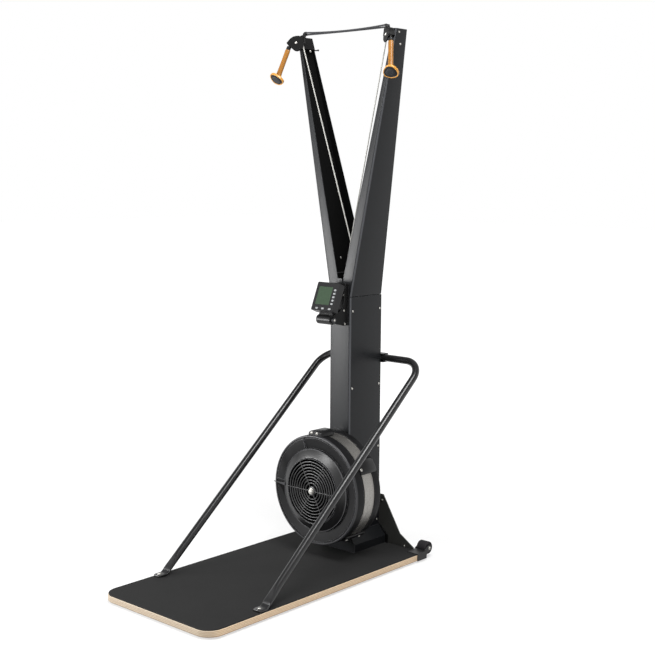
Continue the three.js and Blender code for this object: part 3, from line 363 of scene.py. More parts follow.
def socket(group, name, way, kind="NodeSocketFloat", value=None):
    """Adds a socket to a group's outside, with a value to start from."""
    made = group.interface.new_socket(name=name, in_out=way, socket_type=kind)
    if value is not None:
        made.default_value = value


def put(tree, kind, values=None, **settings):
    """Adds a shader node, sets its properties, and sets or links its inputs."""
    node = tree.nodes.new(kind)
    for key, value in settings.items():
        setattr(node, key, value)
    for key, value in (values or {}).items():
        if isinstance(value, bpy.types.NodeSocket):
            tree.links.new(value, node.inputs[key])
        else:
            node.inputs[key].default_value = value
    return node


def maths(tree, operation, a, b=0.0, c=0.0, clamp=False):
    return put(tree, "ShaderNodeMath", {0: a, 1: b, 2: c}, operation=operation, use_clamp=clamp).outputs[0]


def mixed(tree, share, a, b):
    """The colour between a and b. Sockets 6, 7 and 2 are the node's two colours and its result."""
    return put(tree, "ShaderNodeMix", {0: share, 6: a, 7: b}, data_type="RGBA").outputs[2]


def object_place(tree):
    return put(tree, "ShaderNodeTexCoord").outputs["Object"]


def seen_mask(tree, rays):
    """1 for rays that show something to the camera, also by reflection, and 0 for light on its way."""
    indirect = maths(tree, "MAXIMUM", rays.outputs["Is Glossy Ray"], rays.outputs["Is Transmission Ray"])
    return maths(tree, "MAXIMUM", rays.outputs["Is Camera Ray"], indirect)


def principled(material):
    """A material's node tree and its Principled shader."""
    material.use_nodes = True
    return material.node_tree, material.node_tree.nodes["Principled BSDF"]


def raise_surface(tree, shader, height, strength, distance):
    """Turns a height into the shader's normal."""
    relief = put(tree, "ShaderNodeBump", {"Height": height, "Strength": strength, "Distance": distance})
    tree.links.new(relief.outputs[0], shader.inputs["Normal"])


print("node tools ready")

# %% [markdown]
# ### Grain
#
# Powder coat and moulded plastic look flat from far away, yet their skin is finely pebbled, and their tone
# and gloss drift a little from place to place. Two noises of very different sizes say that. The fine one is
# a height and a fleck, the broad one shifts the colour and the roughness. A painted image could do the
# same, but noise needs no unwrapping and never repeats.

# %% Grain: a fine bump with slow changes of tone and gloss
grain = bpy.data.node_groups.new("surface_grain", "ShaderNodeTree")
for title, value in (("Grain size mm", 1.0), ("Tone spread", 0.1), ("Gloss spread", 0.06), ("Roughness", 0.5),
                     ("Fleck", 0.0)):
    socket(grain, title, "INPUT", value=value)
socket(grain, "Color", "INPUT", "NodeSocketColor", (0.5, 0.5, 0.5, 1))
socket(grain, "Color", "OUTPUT", "NodeSocketColor")
socket(grain, "Roughness", "OUTPUT")
socket(grain, "Height", "OUTPUT")

given = grain.nodes.new("NodeGroupInput")
result = grain.nodes.new("NodeGroupOutput")
where = object_place(grain)
fine_scale = maths(grain, "DIVIDE", PER_METRE, given.outputs["Grain size mm"])
fine = put(grain, "ShaderNodeTexNoise", {"Vector": where, "Scale": fine_scale, "Detail": 2.0,
                                         "Roughness": 0.6})
broad = put(grain, "ShaderNodeTexNoise", {"Vector": where, "Scale": 7.0, "Detail": 4.0, "Roughness": 0.55})
slow = maths(grain, "SUBTRACT", broad.outputs["Fac"], 0.5)
tone = maths(grain, "MULTIPLY_ADD", slow, given.outputs["Tone spread"], 1.0)
fleck = maths(grain, "SUBTRACT", fine.outputs["Fac"], 0.5)
tone = maths(grain, "MULTIPLY_ADD", fleck, given.outputs["Fleck"], tone)
scaled = put(grain, "ShaderNodeVectorMath", {0: given.outputs["Color"], 3: tone}, operation="SCALE")
gloss = maths(grain, "MULTIPLY_ADD", slow, given.outputs["Gloss spread"], given.outputs["Roughness"],
              clamp=True)
grain.links.new(scaled.outputs[0], result.inputs["Color"])
grain.links.new(gloss, result.inputs["Roughness"])
grain.links.new(fine.outputs["Fac"], result.inputs["Height"])
print("group:", grain.name, [s.name for s in grain.interface.items_tree])

# %% [markdown]
# ### Worn edges and painted edge highlights
#
# Paint and plastic rub pale where a corner sticks out, and a rounded corner catches the lamps. The mask
# paints both: its pale colour is partly wear and partly a painted highlight. The Bevel node says which way
# a rounded corner would face. Where that differs from the true face there is an edge, so no mask has to be
# painted by hand. A noise breaks the line up.

# %% Worn edges and painted edge highlights: a mask from the angle between the true and a rounded normal
wear_gain, wear_patches = 6.0, 60.0
wear_and_highlight_group = bpy.data.node_groups.new("worn_and_highlit_edges", "ShaderNodeTree")
for title, value in (("Width mm", 1.5), ("Strength", 1.0)):
    socket(wear_and_highlight_group, title, "INPUT", value=value)
socket(wear_and_highlight_group, "Mask", "OUTPUT")
given = wear_and_highlight_group.nodes.new("NodeGroupInput")
result = wear_and_highlight_group.nodes.new("NodeGroupOutput")
radius = maths(wear_and_highlight_group, "MULTIPLY", given.outputs["Width mm"], MM)
round_normal = put(wear_and_highlight_group, "ShaderNodeBevel", {"Radius": radius}, samples=3)
true_normal = put(wear_and_highlight_group, "ShaderNodeNewGeometry").outputs["Normal"]
facing = put(wear_and_highlight_group, "ShaderNodeVectorMath", {0: round_normal.outputs[0], 1: true_normal},
             operation="DOT_PRODUCT")
turned_away = maths(wear_and_highlight_group, "SUBTRACT", 1.0, facing.outputs["Value"])
where = object_place(wear_and_highlight_group)
patchy = put(wear_and_highlight_group, "ShaderNodeTexNoise", {"Vector": where, "Scale": wear_patches,
                                          "Detail": 3.0}).outputs["Fac"]
mask = maths(wear_and_highlight_group, "MULTIPLY", maths(wear_and_highlight_group, "MULTIPLY", turned_away, wear_gain), patchy)
mask = maths(wear_and_highlight_group, "MULTIPLY", mask, given.outputs["Strength"], clamp=True)
wear_and_highlight_group.links.new(mask, result.inputs["Mask"])
print("group:", wear_and_highlight_group.name, [s.name for s in wear_and_highlight_group.interface.items_tree])

# %% [markdown]
# ### Braid
#
# A braided cord is two sets of strands that cross. Two sine waves, one leaning each way round the tube,
# give that relief from the tube's UV. Real strands would cost thousands of faces for a cord that is a few
# pixels wide.

# %% Braid: the crossing strands of a woven cord, from the turn and the length along it
strand_lean = 4.0
braid = bpy.data.node_groups.new("braid", "ShaderNodeTree")
for title, value in (("Strands", 8.0), ("Pitch mm", 6.0)):
    socket(braid, title, "INPUT", value=value)
socket(braid, "Height", "OUTPUT")
given = braid.nodes.new("NodeGroupInput")
result = braid.nodes.new("NodeGroupOutput")
uv = put(braid, "ShaderNodeSeparateXYZ", {0: put(braid, "ShaderNodeUVMap").outputs[0]})
around = maths(braid, "MULTIPLY", uv.outputs[0], given.outputs["Strands"])
along = maths(braid, "DIVIDE", maths(braid, "MULTIPLY", uv.outputs[1], PER_METRE), given.outputs["Pitch mm"])
waves = []
for way in (1.0, -1.0):
    phase = maths(braid, "MULTIPLY_ADD", along, way * strand_lean, around)
    waves.append(maths(braid, "ABSOLUTE", maths(braid, "SINE", maths(braid, "MULTIPLY", phase, math.pi))))
braid.links.new(maths(braid, "MAXIMUM", waves[0], waves[1]), result.inputs["Height"])
print("group:", braid.name, [s.name for s in braid.interface.items_tree])

# %% [markdown]
# ## Finishes
#
# Each finish is a Principled shader whose colour, roughness and normal come from the groups. Colours are
# written as they look in the photograph and turned into the linear values that Blender works in.

# %% A finish from a colour and a few values
BUMP_SHARE = 0.3


def linear(red, green, blue):
    """A colour of 0 to 255 as it looks, in Blender's linear values."""
    values = [c / 255 for c in (red, green, blue)]
    return [c / 12.92 if c <= 0.04045 else ((c + 0.055) / 1.055) ** 2.4 for c in values] + [1.0]


def new_finish(name, colour, roughness, size=1.0, bump=0.1, tone=0.15, gloss=0.08, fleck=0.0, metal=0.0,
               edge_wear_and_highlight=None, coat=0.0, specular=0.5):
    """A Principled finish with grain. Worn edges with their painted highlight come as (width in mm, strength,
    colour).
    """
    material = bpy.data.materials.new(name)
    tree, shader = principled(material)
    surface = put(tree, "ShaderNodeGroup", {"Grain size mm": size, "Tone spread": tone, "Gloss spread": gloss,
                                            "Roughness": roughness, "Fleck": fleck, "Color": colour},
                  node_tree=grain)
    shade = surface.outputs["Color"]
    # The edge colour paints wear and the highlight that a rounded edge catches.
    if edge_wear_and_highlight:
        edges = put(tree, "ShaderNodeGroup", {"Width mm": edge_wear_and_highlight[0], "Strength": edge_wear_and_highlight[1]}, node_tree=wear_and_highlight_group)
        shade = mixed(tree, edges.outputs["Mask"], shade, edge_wear_and_highlight[2])
    tree.links.new(shade, shader.inputs["Base Color"])
    tree.links.new(surface.outputs["Roughness"], shader.inputs["Roughness"])
    raise_surface(tree, shader, surface.outputs["Height"], bump, size * MM * BUMP_SHARE)
    shader.inputs["Metallic"].default_value = metal
    shader.inputs["Coat Weight"].default_value = coat
    shader.inputs["Specular IOR Level"].default_value = specular
    return material


print("finish helper ready")

# %% [markdown]
# ### Painted steel, plastics, rubber and metals
#
# The machine is made of a few materials. Black powder coat on steel gets a finish for the smooth column,
# a paler one on the folds that is a painted highlight, a near-black one that paints the shade inside the
# arms and the fan, and a paler copy on the gusset that paints light on it where it stands in shade. A
# paler fan plastic paints the highlights on the fan's lip, scale ribs and lever ridge. The values after the
# roughness are the grain's size, its bump, the spread of tone and of gloss, and the fleck.

# %% Painted steel, plastics, rubber and metals
# Edge colours for the edge mask: pale wear with a painted highlight on top.
bare_and_highlit_edge = linear(96, 97, 99)
rubbed_and_highlit_black = linear(130, 130, 132)
painted_steel = new_finish("satin_black_powder_coat", linear(26, 27, 29), 0.34, 0.9, 0.14, 0.25, 0.08, 0.35,
                           edge_wear_and_highlight=(1.6, 0.7, bare_and_highlit_edge), specular=0.18)
# A lighter copy of the black paint: painted light on the gusset, which stands in shade.
gusset_lightened_paint = new_finish("gusset_paint_painted_light", linear(58, 58, 56), 0.45, 1.0, 0.16, 0.25, 0.08, 0.4,
                          edge_wear_and_highlight=(1.6, 0.7, bare_and_highlit_edge), specular=0.18)
shoe_paint = new_finish("black_shoe_paint", linear(24, 24, 24), 0.4, 1.2, 0.25, 0.3, 0.1, 0.5,
                        edge_wear_and_highlight=(1.4, 1.0, bare_and_highlit_edge), specular=0.3)
# Painted highlight for the folds' bend.
fold_highlight_paint = new_finish("painted_highlight_fold_paint", linear(76, 77, 80), 0.34, 0.9, 0.1, 0.2, 0.08, 0.2,
                        specular=0.18)
# Near-black finish that paints the shade inside the arms and the fan and under the damper's lever.
shade_black_paint = new_finish("painted_shade_black", linear(12, 12, 12), 0.7, 1.4, 0.3, 0.3, 0.1, 0.5,
                          specular=0.05)
tube_paint = new_finish("gloss_black_tube_paint", linear(24, 24, 25), 0.28, 1.1, 0.04, 0.2, 0.06, 0.1,
                        coat=0.15, specular=0.4)
plate_paint = new_finish("rough_black_plate_paint", linear(15, 15, 15), 0.5, 1.2, 0.3, 0.3, 0.1, 0.5,
                         edge_wear_and_highlight=(1.2, 0.8, bare_and_highlit_edge), specular=0.12)
fan_plastic = new_finish("moulded_fan_plastic", linear(22, 22, 23), 0.42, 0.7, 0.3, 0.3, 0.1, 0.5,
                         edge_wear_and_highlight=(2.4, 1.0, rubbed_and_highlit_black), specular=0.12)
# Paler fan plastic: painted highlights on the lip, the scale's ribs and the lever's ridge.
highlight_fan_plastic = new_finish("painted_highlight_fan_plastic", linear(54, 54, 56), 0.34, 0.7, 0.1, 0.2, 0.1, 0.2,
                            specular=0.3)
grille_plastic = new_finish("grille_plastic", linear(28, 28, 29), 0.3, 0.8, 0.08, 0.15, 0.08, 0.1,
                            specular=0.55)
small_plastic = new_finish("moulded_small_plastic", linear(24, 24, 25), 0.34, 0.6, 0.1, 0.2, 0.1, 0.2,
                           specular=0.25)
tyre_rubber = new_finish("tyre_rubber", linear(44, 42, 44), 0.7, 0.8, 0.3, 0.35, 0.1, 0.4, specular=0.2)
insert_rubber = new_finish("insert_rubber", linear(30, 31, 34), 0.5, 0.9, 0.3, 0.5, 0.15, 0.5, specular=0.3)
bolt_steel = new_finish("zinc_plated_bolt", linear(190, 188, 183), 0.33, 0.5, 0.05, 0.15, 0.2, 0.1, metal=1.0)
dark_steel = new_finish("blackened_steel", linear(60, 60, 62), 0.35, 0.6, 0.08, 0.2, 0.1, 0.1, metal=0.8)
button_rubber = new_finish("grey_key_rubber", linear(140, 142, 143), 0.5, 0.4, 0.06, 0.05, 0.05, 0.04,
                           specular=0.3)
mat_rubber = new_finish("pebbled_mat_rubber", linear(42, 42, 42), 0.8, 1.6, 0.6, 0.25, 0.08, 0.7,
                        specular=0.08)
print("finishes:", len(bpy.data.materials))

# %% [markdown]
# ## The light
#
# The photograph is a studio shot on white. A soft box at the left gives the grey sheen on the front of the
# arms and the line along the tubes. One at the front fills the fan, one above lights the platform and the
# fan's top, and a narrow one at the right draws the thin lines on the right-hand edges. The white that the
# camera or a reflection sees comes from the Light Path node, so it adds no light to the machine.

# %% World and lamps
world = bpy.data.worlds.new("studio")
bpy.context.scene.world = world
world.use_nodes = True
tree = world.node_tree
tree.nodes.clear()
rays = put(tree, "ShaderNodeLightPath")
seen = seen_mask(tree, rays)
room_light, ceiling, ceiling_start, ceiling_end = 0.38, 0.3, 0.25, 0.75
looking = put(tree, "ShaderNodeTexCoord").outputs["Generated"]
height = put(tree, "ShaderNodeSeparateXYZ", {0: looking}).outputs[2]
reflected = put(tree, "ShaderNodeMapRange", {0: height, 1: ceiling_start, 2: ceiling_end, 3: 1.0, 4: ceiling},
                interpolation_type="SMOOTHSTEP")
mirrored = maths(tree, "MAXIMUM", reflected.outputs[0], rays.outputs["Is Camera Ray"])
strength = put(tree, "ShaderNodeMix", {0: seen, 2: room_light, 3: mirrored}).outputs[0]
background = put(tree, "ShaderNodeBackground", {"Color": (1, 1, 1, 1), "Strength": strength})
put(tree, "ShaderNodeOutputWorld", {"Surface": background.outputs[0]})


def soft_box(name, place, target, width, height, watts):
    """A lamp that shines from a rectangle towards a target."""
    data = bpy.data.lights.new(name, "AREA")
    data.shape = "RECTANGLE"
    data.size, data.size_y = width, height
    data.energy = watts
    lamp = bpy.data.objects.new(name, data)
    bpy.context.scene.collection.objects.link(lamp)
    lamp.location = place
    lamp.rotation_mode = "QUATERNION"
    lamp.rotation_quaternion = (Vector(target) - Vector(place)).to_track_quat("-Z", "Y")


soft_box("key_box", (-3.0, -3.0, 0.85), (0, 0.35, 1.15), 1.3, 0.9, 135)
soft_box("front_box", (-1.5, -3.7, 2.3), (0, 0.2, 0.4), 1.2, 1.2, 75)
soft_box("top_box", (1.5, -0.5, 4.3), (0.1, 0, 0.5), 1.8, 1.8, 150)
soft_box("strip_box", (2.6, -3.9, 2.6), (0, 0, 0.9), 0.35, 1.6, 16)
print("lamps:", len(bpy.data.lights))

# %% [markdown]
# ## The floor
#
# The floor is white card. Lighting a card to a pure white would need lamps so strong that they wash out the
# machine. So the floor glows by itself to the camera, less near the machine than far off, and takes a share
# of real light, which keeps the soft shadow. To the rays that light the machine it is a plain white card.

# %% Floor
floor_reach = 30.0
floor_mesh = bpy.data.meshes.new("studio_floor")
floor_corners = [(x * floor_reach, y * floor_reach, 0) for x, y in ((-1, -1), (1, -1), (1, 1), (-1, 1))]
floor_mesh.from_pydata(floor_corners, [], [(0, 1, 2, 3)])
studio_floor = bpy.data.objects.new("studio_floor", floor_mesh)
bpy.context.scene.collection.objects.link(studio_floor)

floor_card = bpy.data.materials.new("white_card")
floor_card.use_nodes = True
tree = floor_card.node_tree
tree.nodes.clear()
seen = seen_mask(tree, put(tree, "ShaderNodeLightPath"))
near, near_white = 1.0, 0.6
far, far_white = 4.5, 1.0
card_white, shadow_white = (0.8, 0.8, 0.8, 1), (0.42, 0.42, 0.42, 1)
distance = put(tree, "ShaderNodeVectorMath", {0: object_place(tree)}, operation="LENGTH").outputs["Value"]
own_white = put(tree, "ShaderNodeMapRange", {0: distance, 1: near, 2: far, 3: near_white, 4: far_white},
                interpolation_type="SMOOTHSTEP").outputs[0]
card = put(tree, "ShaderNodeBsdfDiffuse", {"Color": card_white})
shade_share = put(tree, "ShaderNodeBsdfDiffuse", {"Color": shadow_white})
glow = put(tree, "ShaderNodeEmission", {"Color": (1, 1, 1, 1), "Strength": own_white})
lit = put(tree, "ShaderNodeAddShader", {0: glow.outputs[0], 1: shade_share.outputs[0]})
whole = put(tree, "ShaderNodeMixShader", {0: seen, 1: card.outputs[0], 2: lit.outputs[0]})
put(tree, "ShaderNodeOutputMaterial", {"Surface": whole.outputs[0]})
floor_mesh.materials.append(floor_card)
print("floor ready")

# %% [markdown]
# ## Platform
#
# The user stands on a sheet of plywood with a rubber mat glued on it. The front corners are round and the
# rear ones square. The board's edge shows its plies, so the finish goes by the height in the board: each
# ply has its own tone and a dark glue line, and a stretched noise is the grain of the wood. Near the front
# the edge is mixed towards a blue grey, a painted shade.

# %% Plywood: plies by height, with grain along the sheet
plywood = bpy.data.materials.new("plywood_edge")
tree, shader = principled(plywood)
board_low, board_high = box_mm("platform_board")
ply_count, ply_warp, glue_line, low_plies = 9, 0.35, 0.07, 1.3
shaded_front, shade_strength = 0.06, 0.45
spot = put(tree, "ShaderNodeSeparateXYZ", {0: object_place(tree)})
height = maths(tree, "DIVIDE", maths(tree, "SUBTRACT", spot.outputs[2], board_low.z * MM),
               (board_high.z - board_low.z) * MM / ply_count)
warp = put(tree, "ShaderNodeTexNoise", {"Vector": object_place(tree), "Scale": 9.0})
height = maths(tree, "MULTIPLY_ADD", maths(tree, "SUBTRACT", warp.outputs["Fac"], 0.5), ply_warp, height)
even = maths(tree, "GREATER_THAN", maths(tree, "MODULO", height, 2.0), 1.0)
seam = maths(tree, "LESS_THAN", maths(tree, "PINGPONG", height, 0.5), glue_line)
stretch = put(tree, "ShaderNodeMapping", {"Vector": object_place(tree), "Scale": (14.0, 14.0, 900.0)})
fibre = put(tree, "ShaderNodeTexNoise", {"Vector": stretch.outputs[0], "Scale": 3.0, "Detail": 5.0})
long_grain = mixed(tree, fibre.outputs["Fac"], linear(206, 176, 138), linear(240, 222, 196))
end_grain = mixed(tree, fibre.outputs["Fac"], linear(182, 148, 112), linear(222, 194, 160))
face = mixed(tree, even, long_grain, end_grain)
face = mixed(tree, maths(tree, "MULTIPLY", seam, 0.6), face, linear(136, 104, 76))
low_ply = maths(tree, "LESS_THAN", height, low_plies)
face = mixed(tree, maths(tree, "MULTIPLY", low_ply, 0.5), face, linear(120, 86, 60))
# Painted shade: the edge turns blue grey within a few centimetres of the front.
front_edge = board_low.y * MM + column_front
front_edge_shade = put(tree, "ShaderNodeMapRange", {0: spot.outputs[1], 1: front_edge, 2: front_edge + shaded_front,
                                             3: shade_strength, 4: 0.0}).outputs[0]
face = mixed(tree, front_edge_shade, face, linear(62, 82, 88))
tree.links.new(face, shader.inputs["Base Color"])
shader.inputs["Roughness"].default_value = 0.55
raise_surface(tree, shader, fibre.outputs["Fac"], 0.25, 0.4 * MM)
print("plywood:", ply_count, "plies in", round(board_high.z - board_low.z, 1), "mm")

# %% [markdown]
# ### Board, mat and runners
#
# A box with a bevel on its upright edges could be the board, but two bevels of very different width disturb
# each other at the corners. So a stack of outlines makes the plan and the rounded edge at once, without a
# modifier. The runners are plain strips, so their solids are only dressed.

# %% Board, mat and runners
board_corner = 65
board_edge = 3.5
mat_edge, mat_foot = 1.4, 0.2
mat_low, mat_high = box_mm("platform_mat")
mat_inset = mat_low.x - board_low.x


def platform_outline(inset):
    """The board's plan, drawn in by an inset, with round corners at the front."""
    x, y0, y1 = board_high.x - inset, board_low.y + inset, board_high.y - inset
    return rounded([(-x, y0), (-x, y1), (x, y1), (x, y0)],
                   [board_corner - inset, board_edge, board_edge, board_corner - inset], 14)


def slab_rings(outline_at, low, high, inset, edge_low, edge_high):
    """Outlines up a slab whose lower and upper edges are rounded."""
    rings, steps = [], 5
    for edge, start, sign in ((edge_low, low, 1), (edge_high, high, -1)):
        stack = []
        for i in range(steps + 1):
            turn = math.pi / 2 * i / steps
            shrink = edge * (1 - math.sin(turn))
            z = start + sign * edge * (1 - math.cos(turn))
            stack.append([Vector((p.x, p.y, z)) for p in outline_at(inset + shrink)])
        rings += stack if sign > 0 else stack[::-1]
    return rings


skin("plywood_board", slab_rings(platform_outline, board_low.z, board_high.z, 0, board_edge, board_edge),
     plywood, stands_for=["platform_board"], slot="plywood")
skin("rubber_mat", slab_rings(platform_outline, mat_low.z, mat_high.z, mat_inset, mat_foot, mat_edge),
     mat_rubber, stands_for=["platform_mat"], slot="mat")
for end in ("front", "rear"):
    dress(f"runner_{end}", tyre_rubber, 2.0)
print("platform:", [round(v) for v in board_high - board_low])

# %% [markdown]
# ## Column
#
# The column is 3 mm sheet folded into a channel and closed at the rear by a cover. A fold has a radius, and
# the bright line down each front corner is that radius catching the soft box, with a paler finish on the
# fold that paints the highlight as well. A bevel on a box would give the line too, but not the thin wall
# that shows at the top, so the outline is drawn with its wall and its arcs and pushed up in one skin.

# %% Column shell and cover
sheet = 3.0
fold = 7.5
seam_gap = 1.3
cut_radius = 0.8
seam_height = column_high.z


def channel_outline(x0, x1, y0, y1):
    """A folded channel, open at the rear, from its outer sides."""
    inner = fold - sheet
    corners = [(x0, y1), (x0, y0), (x1, y0), (x1, y1), (x1 - sheet, y1), (x1 - sheet, y0 + sheet),
               (x0 + sheet, y0 + sheet), (x0 + sheet, y1)]
    return rounded(corners, [cut_radius, fold, fold, cut_radius, cut_radius, inner, inner, cut_radius], 6)


shell_rings = [[Vector((p.x, p.y, z)) for p in channel_outline(-half_column, half_column, 0, column_depth)]
               for z in (floor_level, floor_level + 1, seam_height - seam_gap - 1, seam_height - seam_gap)]
piece = skin("column_channel", shell_rings, painted_steel, stands_for=["column_shell"], slot="paint")


def on_column_fold(x, y, _):
    return abs(x) > half_column - fold / 2 and fold / 8 < y < fold


# The faces of the front folds get a paler finish: a painted highlight.
second_finish(piece, fold_highlight_paint, on_column_fold)
dress("column_rear_cover", painted_steel, 0.8)
print("column: from", round(floor_level), "to its seam at", round(seam_height))

# %% [markdown]
# ## Arms
#
# Each arm is a tapering channel that opens towards the middle, so that the cord can run inside it. Every
# side is straight, so a ring at any height follows from the sizes at the seam and at the top. The inside of
# the channel gets a near-black finish that paints the shade in it, and its outer fold a paler one that
# paints its highlight.

# %% The arms' sides by height
arm_low, arm_high = box_mm("arm_right")
arm_foot, arm_top, arm_top_outer = arm_low.z, arm_high.z, arm_high.x
arm_top_inner, arm_top_front, arm_top_rear = 247, 15, 88
crotch_rise = 12
crotch_height = seam_height + crotch_rise
centre_gap = 0.6


def mix(a, b, share):
    return a + (b - a) * share


def arm_sides(z):
    """The arm's outer, inner, front and rear sides at a height."""
    share = (z - seam_height) / (arm_top - seam_height)
    inner = max(centre_gap / 2, arm_top_inner * (z - crotch_height) / (arm_top - crotch_height))
    return (mix(half_column, arm_top_outer, share), inner, mix(0, arm_top_front, share),
            mix(column_depth, arm_top_rear, share))


def arm_ring(z, side):
    """The arm's channel section at a height."""
    xo, xi, y0, y1 = arm_sides(z)
    inner = fold - sheet
    corners = [(xo, y1), (xo, y0), (xi, y0), (xi, y0 + sheet), (xo - sheet, y0 + sheet),
               (xo - sheet, y1 - sheet), (xi, y1 - sheet), (xi, y1)]
    radii = [fold * 0.6, fold, cut_radius, cut_radius, inner, inner * 0.5, cut_radius, cut_radius]
    outline = rounded(corners, radii, 6)
    return [Vector((p.x * side, p.y, z)) for p in outline]


print("arm foot sides:", [round(v, 1) for v in arm_sides(arm_foot)])

# %% Arm skins and their finishes
face_slack = 0.2
arm_steps = [arm_foot + seam_gap, arm_foot + seam_gap + 1, crotch_height, crotch_height + 1]
arm_steps += [mix(crotch_height + 1, arm_top - 1, k / 12) for k in range(1, 13)] + [arm_top]


def inside_arm(x, y, z):
    xo, xi, y0, y1 = arm_sides(z)
    in_width = xi - 1 < abs(x) < xo - sheet + face_slack
    return in_width and y0 + sheet - face_slack < y < y1 - sheet + face_slack


def on_arm_fold(x, y, z):
    xo, _, y0, _ = arm_sides(z)
    return abs(x) > xo - fold / 2 and y0 + fold / 8 < y < y0 + fold


for word, side in SIDES:
    piece = skin(f"arm_channel_{word}", [arm_ring(z, side) for z in arm_steps], painted_steel,
                 stands_for=[f"arm_{word}"], slot="paint")
    # Painted shade inside the channel.
    second_finish(piece, shade_black_paint, inside_arm)
    # Painted highlight on the arm's outer fold.
    second_finish(piece, fold_highlight_paint, on_arm_fold)
print("arms:", round(arm_top), "high, outer", round(arm_top_outer))

# %% [markdown]
# ### Pins and hooks
#
# Each guide wheel turns on a pin held by the front and the rear wall of its arm. Near the top a short rod
# with a ball at its end stands inwards from the rear wall. A rod is a straight tube, and a ball is a half
# circle turned round it.

# %% Guide wheel pins and the hooks at the top
guide_wheel_radius, guide_rim, guide_width, guide_height = 20, 23, 11, crotch_height + 82
cord_line_x = 45
cord_line_y = {"left": 64, "right": 84}
pin_radius = 4
hook_height, hook_radius, hook_length, hook_ball = arm_top - 50, 2.6, 24, 4.2

for word, side in SIDES:
    _, _, y0, y1 = arm_sides(guide_height)
    x = side * (cord_line_x - guide_wheel_radius)
    path = [Vector((x, y0 + sheet / 2, guide_height)), Vector((x, y1 - sheet / 2, guide_height))]
    tube_piece(f"guide_pin_{word}", path, pin_radius, dark_steel, 20, slot="bolt_steel")
    _, inner, _, rear = arm_sides(hook_height)
    start = Vector((side * (inner + hook_radius), rear - sheet / 2, hook_height))
    end = start - Vector((side * hook_length, 0, 0))
    arc = [math.radians(d) for d in range(-75, 90, 15)]
    ball = [(hook_ball * math.cos(a), hook_ball * math.sin(a)) for a in arc]
    ball = [(0, -hook_ball)] + ball + [(0, hook_ball)]
    tube_piece(f"hook_rod_{word}", [start, end], hook_radius, dark_steel, 16, slot="paint")
    turned_piece(f"hook_ball_{word}", ball, frame_at(end, ACROSS), dark_steel, 24, closed=False,
                 slot="paint")
print("guide pins at", round(guide_height), "and hooks at", round(hook_height))

# %% [markdown]
# ## Pulley heads
#
# Each head is a pair of leaf-shaped plates round a grooved pulley, set aslant on the arm towards the user.
# A real cord pulls its pulley into its own plane. So the plane isn't turned by eye: it is worked out from
# the line of the hanging handle and the cord's way down to the guide wheel of the far side.

# %% The head's own directions
head_centre = Vector((arm_top_inner - 1.3, arm_top_front - 21.3, arm_top - 27.5))
hang_right = Vector((0.225, -0.27, -0.936)).normalized()
head_radius, head_rim, head_width = 24, 27, 17
head_half, head_plate = 10.5, 2.5
leaf_shares = [(1.65, -0.06), (1.46, 0.24), (0.78, 0.74), (0.1, 1.0), (-0.58, 1.12), (-1.25, 1.2),
               (-1.3, -0.55), (-0.7, -1.06), (-0.38, -1.2), (0.04, -1.27), (0.42, -1.13), (0.84, -0.8),
               (1.28, -0.45)]


def flip(v, side):
    """A point of the right side, mirrored for the left one."""
    return Vector((v.x * side, v.y, v.z))


def cord_target(side):
    """Where a head's cord is heading: between the two cord lines, at the guide wheels' height."""
    return Vector((-side * cord_line_x, sum(cord_line_y.values()) / 2, guide_height))


def head_frame(side):
    """A head's centre and directions: nose is level and forward in its plane, up is square to that."""
    centre, hang = flip(head_centre, side), flip(hang_right, side)
    inward = (cord_target(side) - centre).cross(hang).normalized()
    if inward.y > 0:
        inward.negate()
    nose = UP.cross(inward).normalized()
    if nose.y > 0:
        nose.negate()
    up = nose.cross(inward).normalized()
    if up.z < 0:
        up.negate()
    return {"centre": centre, "hang": hang, "inward": inward, "nose": nose, "up": up}


heads = {word: head_frame(side) for word, side in SIDES}
print("right head's plane faces", [round(v, 2) for v in heads["right"]["inward"]])

# %% [markdown]
# ### Plates of the head
#
# The plates are cut from sheet, so each is one outline pushed to its thickness: two leaves, a web that
# joins them at the arm, a hood over the pulley and a moulded block that the cords pass. Their outlines are
# written as shares of the pulley's radius and so follow its size. What would run through the arm's front
# face is cut away.

# %% Helpers for the head's plates
def smooth_outline(points):
    """A closed curve through the points of an outline."""
    count, steps, outline = len(points), 5, []
    for k in range(count):
        a, b, c, d = (Vector(points[(k + i) % count]) for i in (-1, 0, 1, 2))
        for i in range(steps):
            t = i / steps
            outline.append(0.5 * ((2 * b) + (c - a) * t + (2 * a - 5 * b + 4 * c - d) * t ** 2
                                  + (3 * b - a - 3 * c + d) * t ** 3))
    return outline


def head_plate_piece(name, head, outline, start, stop, finish, bevel=0.5, **words):
    """A plate in the head's plane, from one distance to another along its axle."""
    place = head["centre"] + head["inward"] * start
    return plate_piece(name, outline, stop - start, finish, head["nose"], head["up"], head["inward"], place,
                       bevel, **words)


guide_shares = [(-1.6, 1.05), (-1.1, 1.05), (-1.1, 1.55), (-1.35, 1.88), (-1.6, 1.88)]
web_shares = [(-1.52, -0.1), (-1.2, -0.1), (-1.2, 1.1), (-1.52, 1.1)]
strand_shares = {"front": (1.74, 0.35), "rear": (1.5, -0.35)}
guide_block = 16
collar_radius, collar_length, collar_bore = 4.5, 5.5, 3.1
mount_low, mount_gap = arm_top - 47, 0.3


def cut_behind(piece, clear_y):
    """Trims a piece where it would pass through the arm's front face."""
    shape = bmesh.new()
    shape.from_mesh(piece.data)
    plane = to_model((0, clear_y, 0))
    found = bmesh.ops.bisect_plane(shape, geom=shape.verts[:] + shape.edges[:] + shape.faces[:],
                                   plane_co=plane, plane_no=(0, 1, 0), clear_outer=True)
    edges = [e for e in found["geom_cut"] if isinstance(e, bmesh.types.BMEdge)]
    bmesh.ops.holes_fill(shape, edges=edges)
    shape.to_mesh(piece.data)
    shape.free()


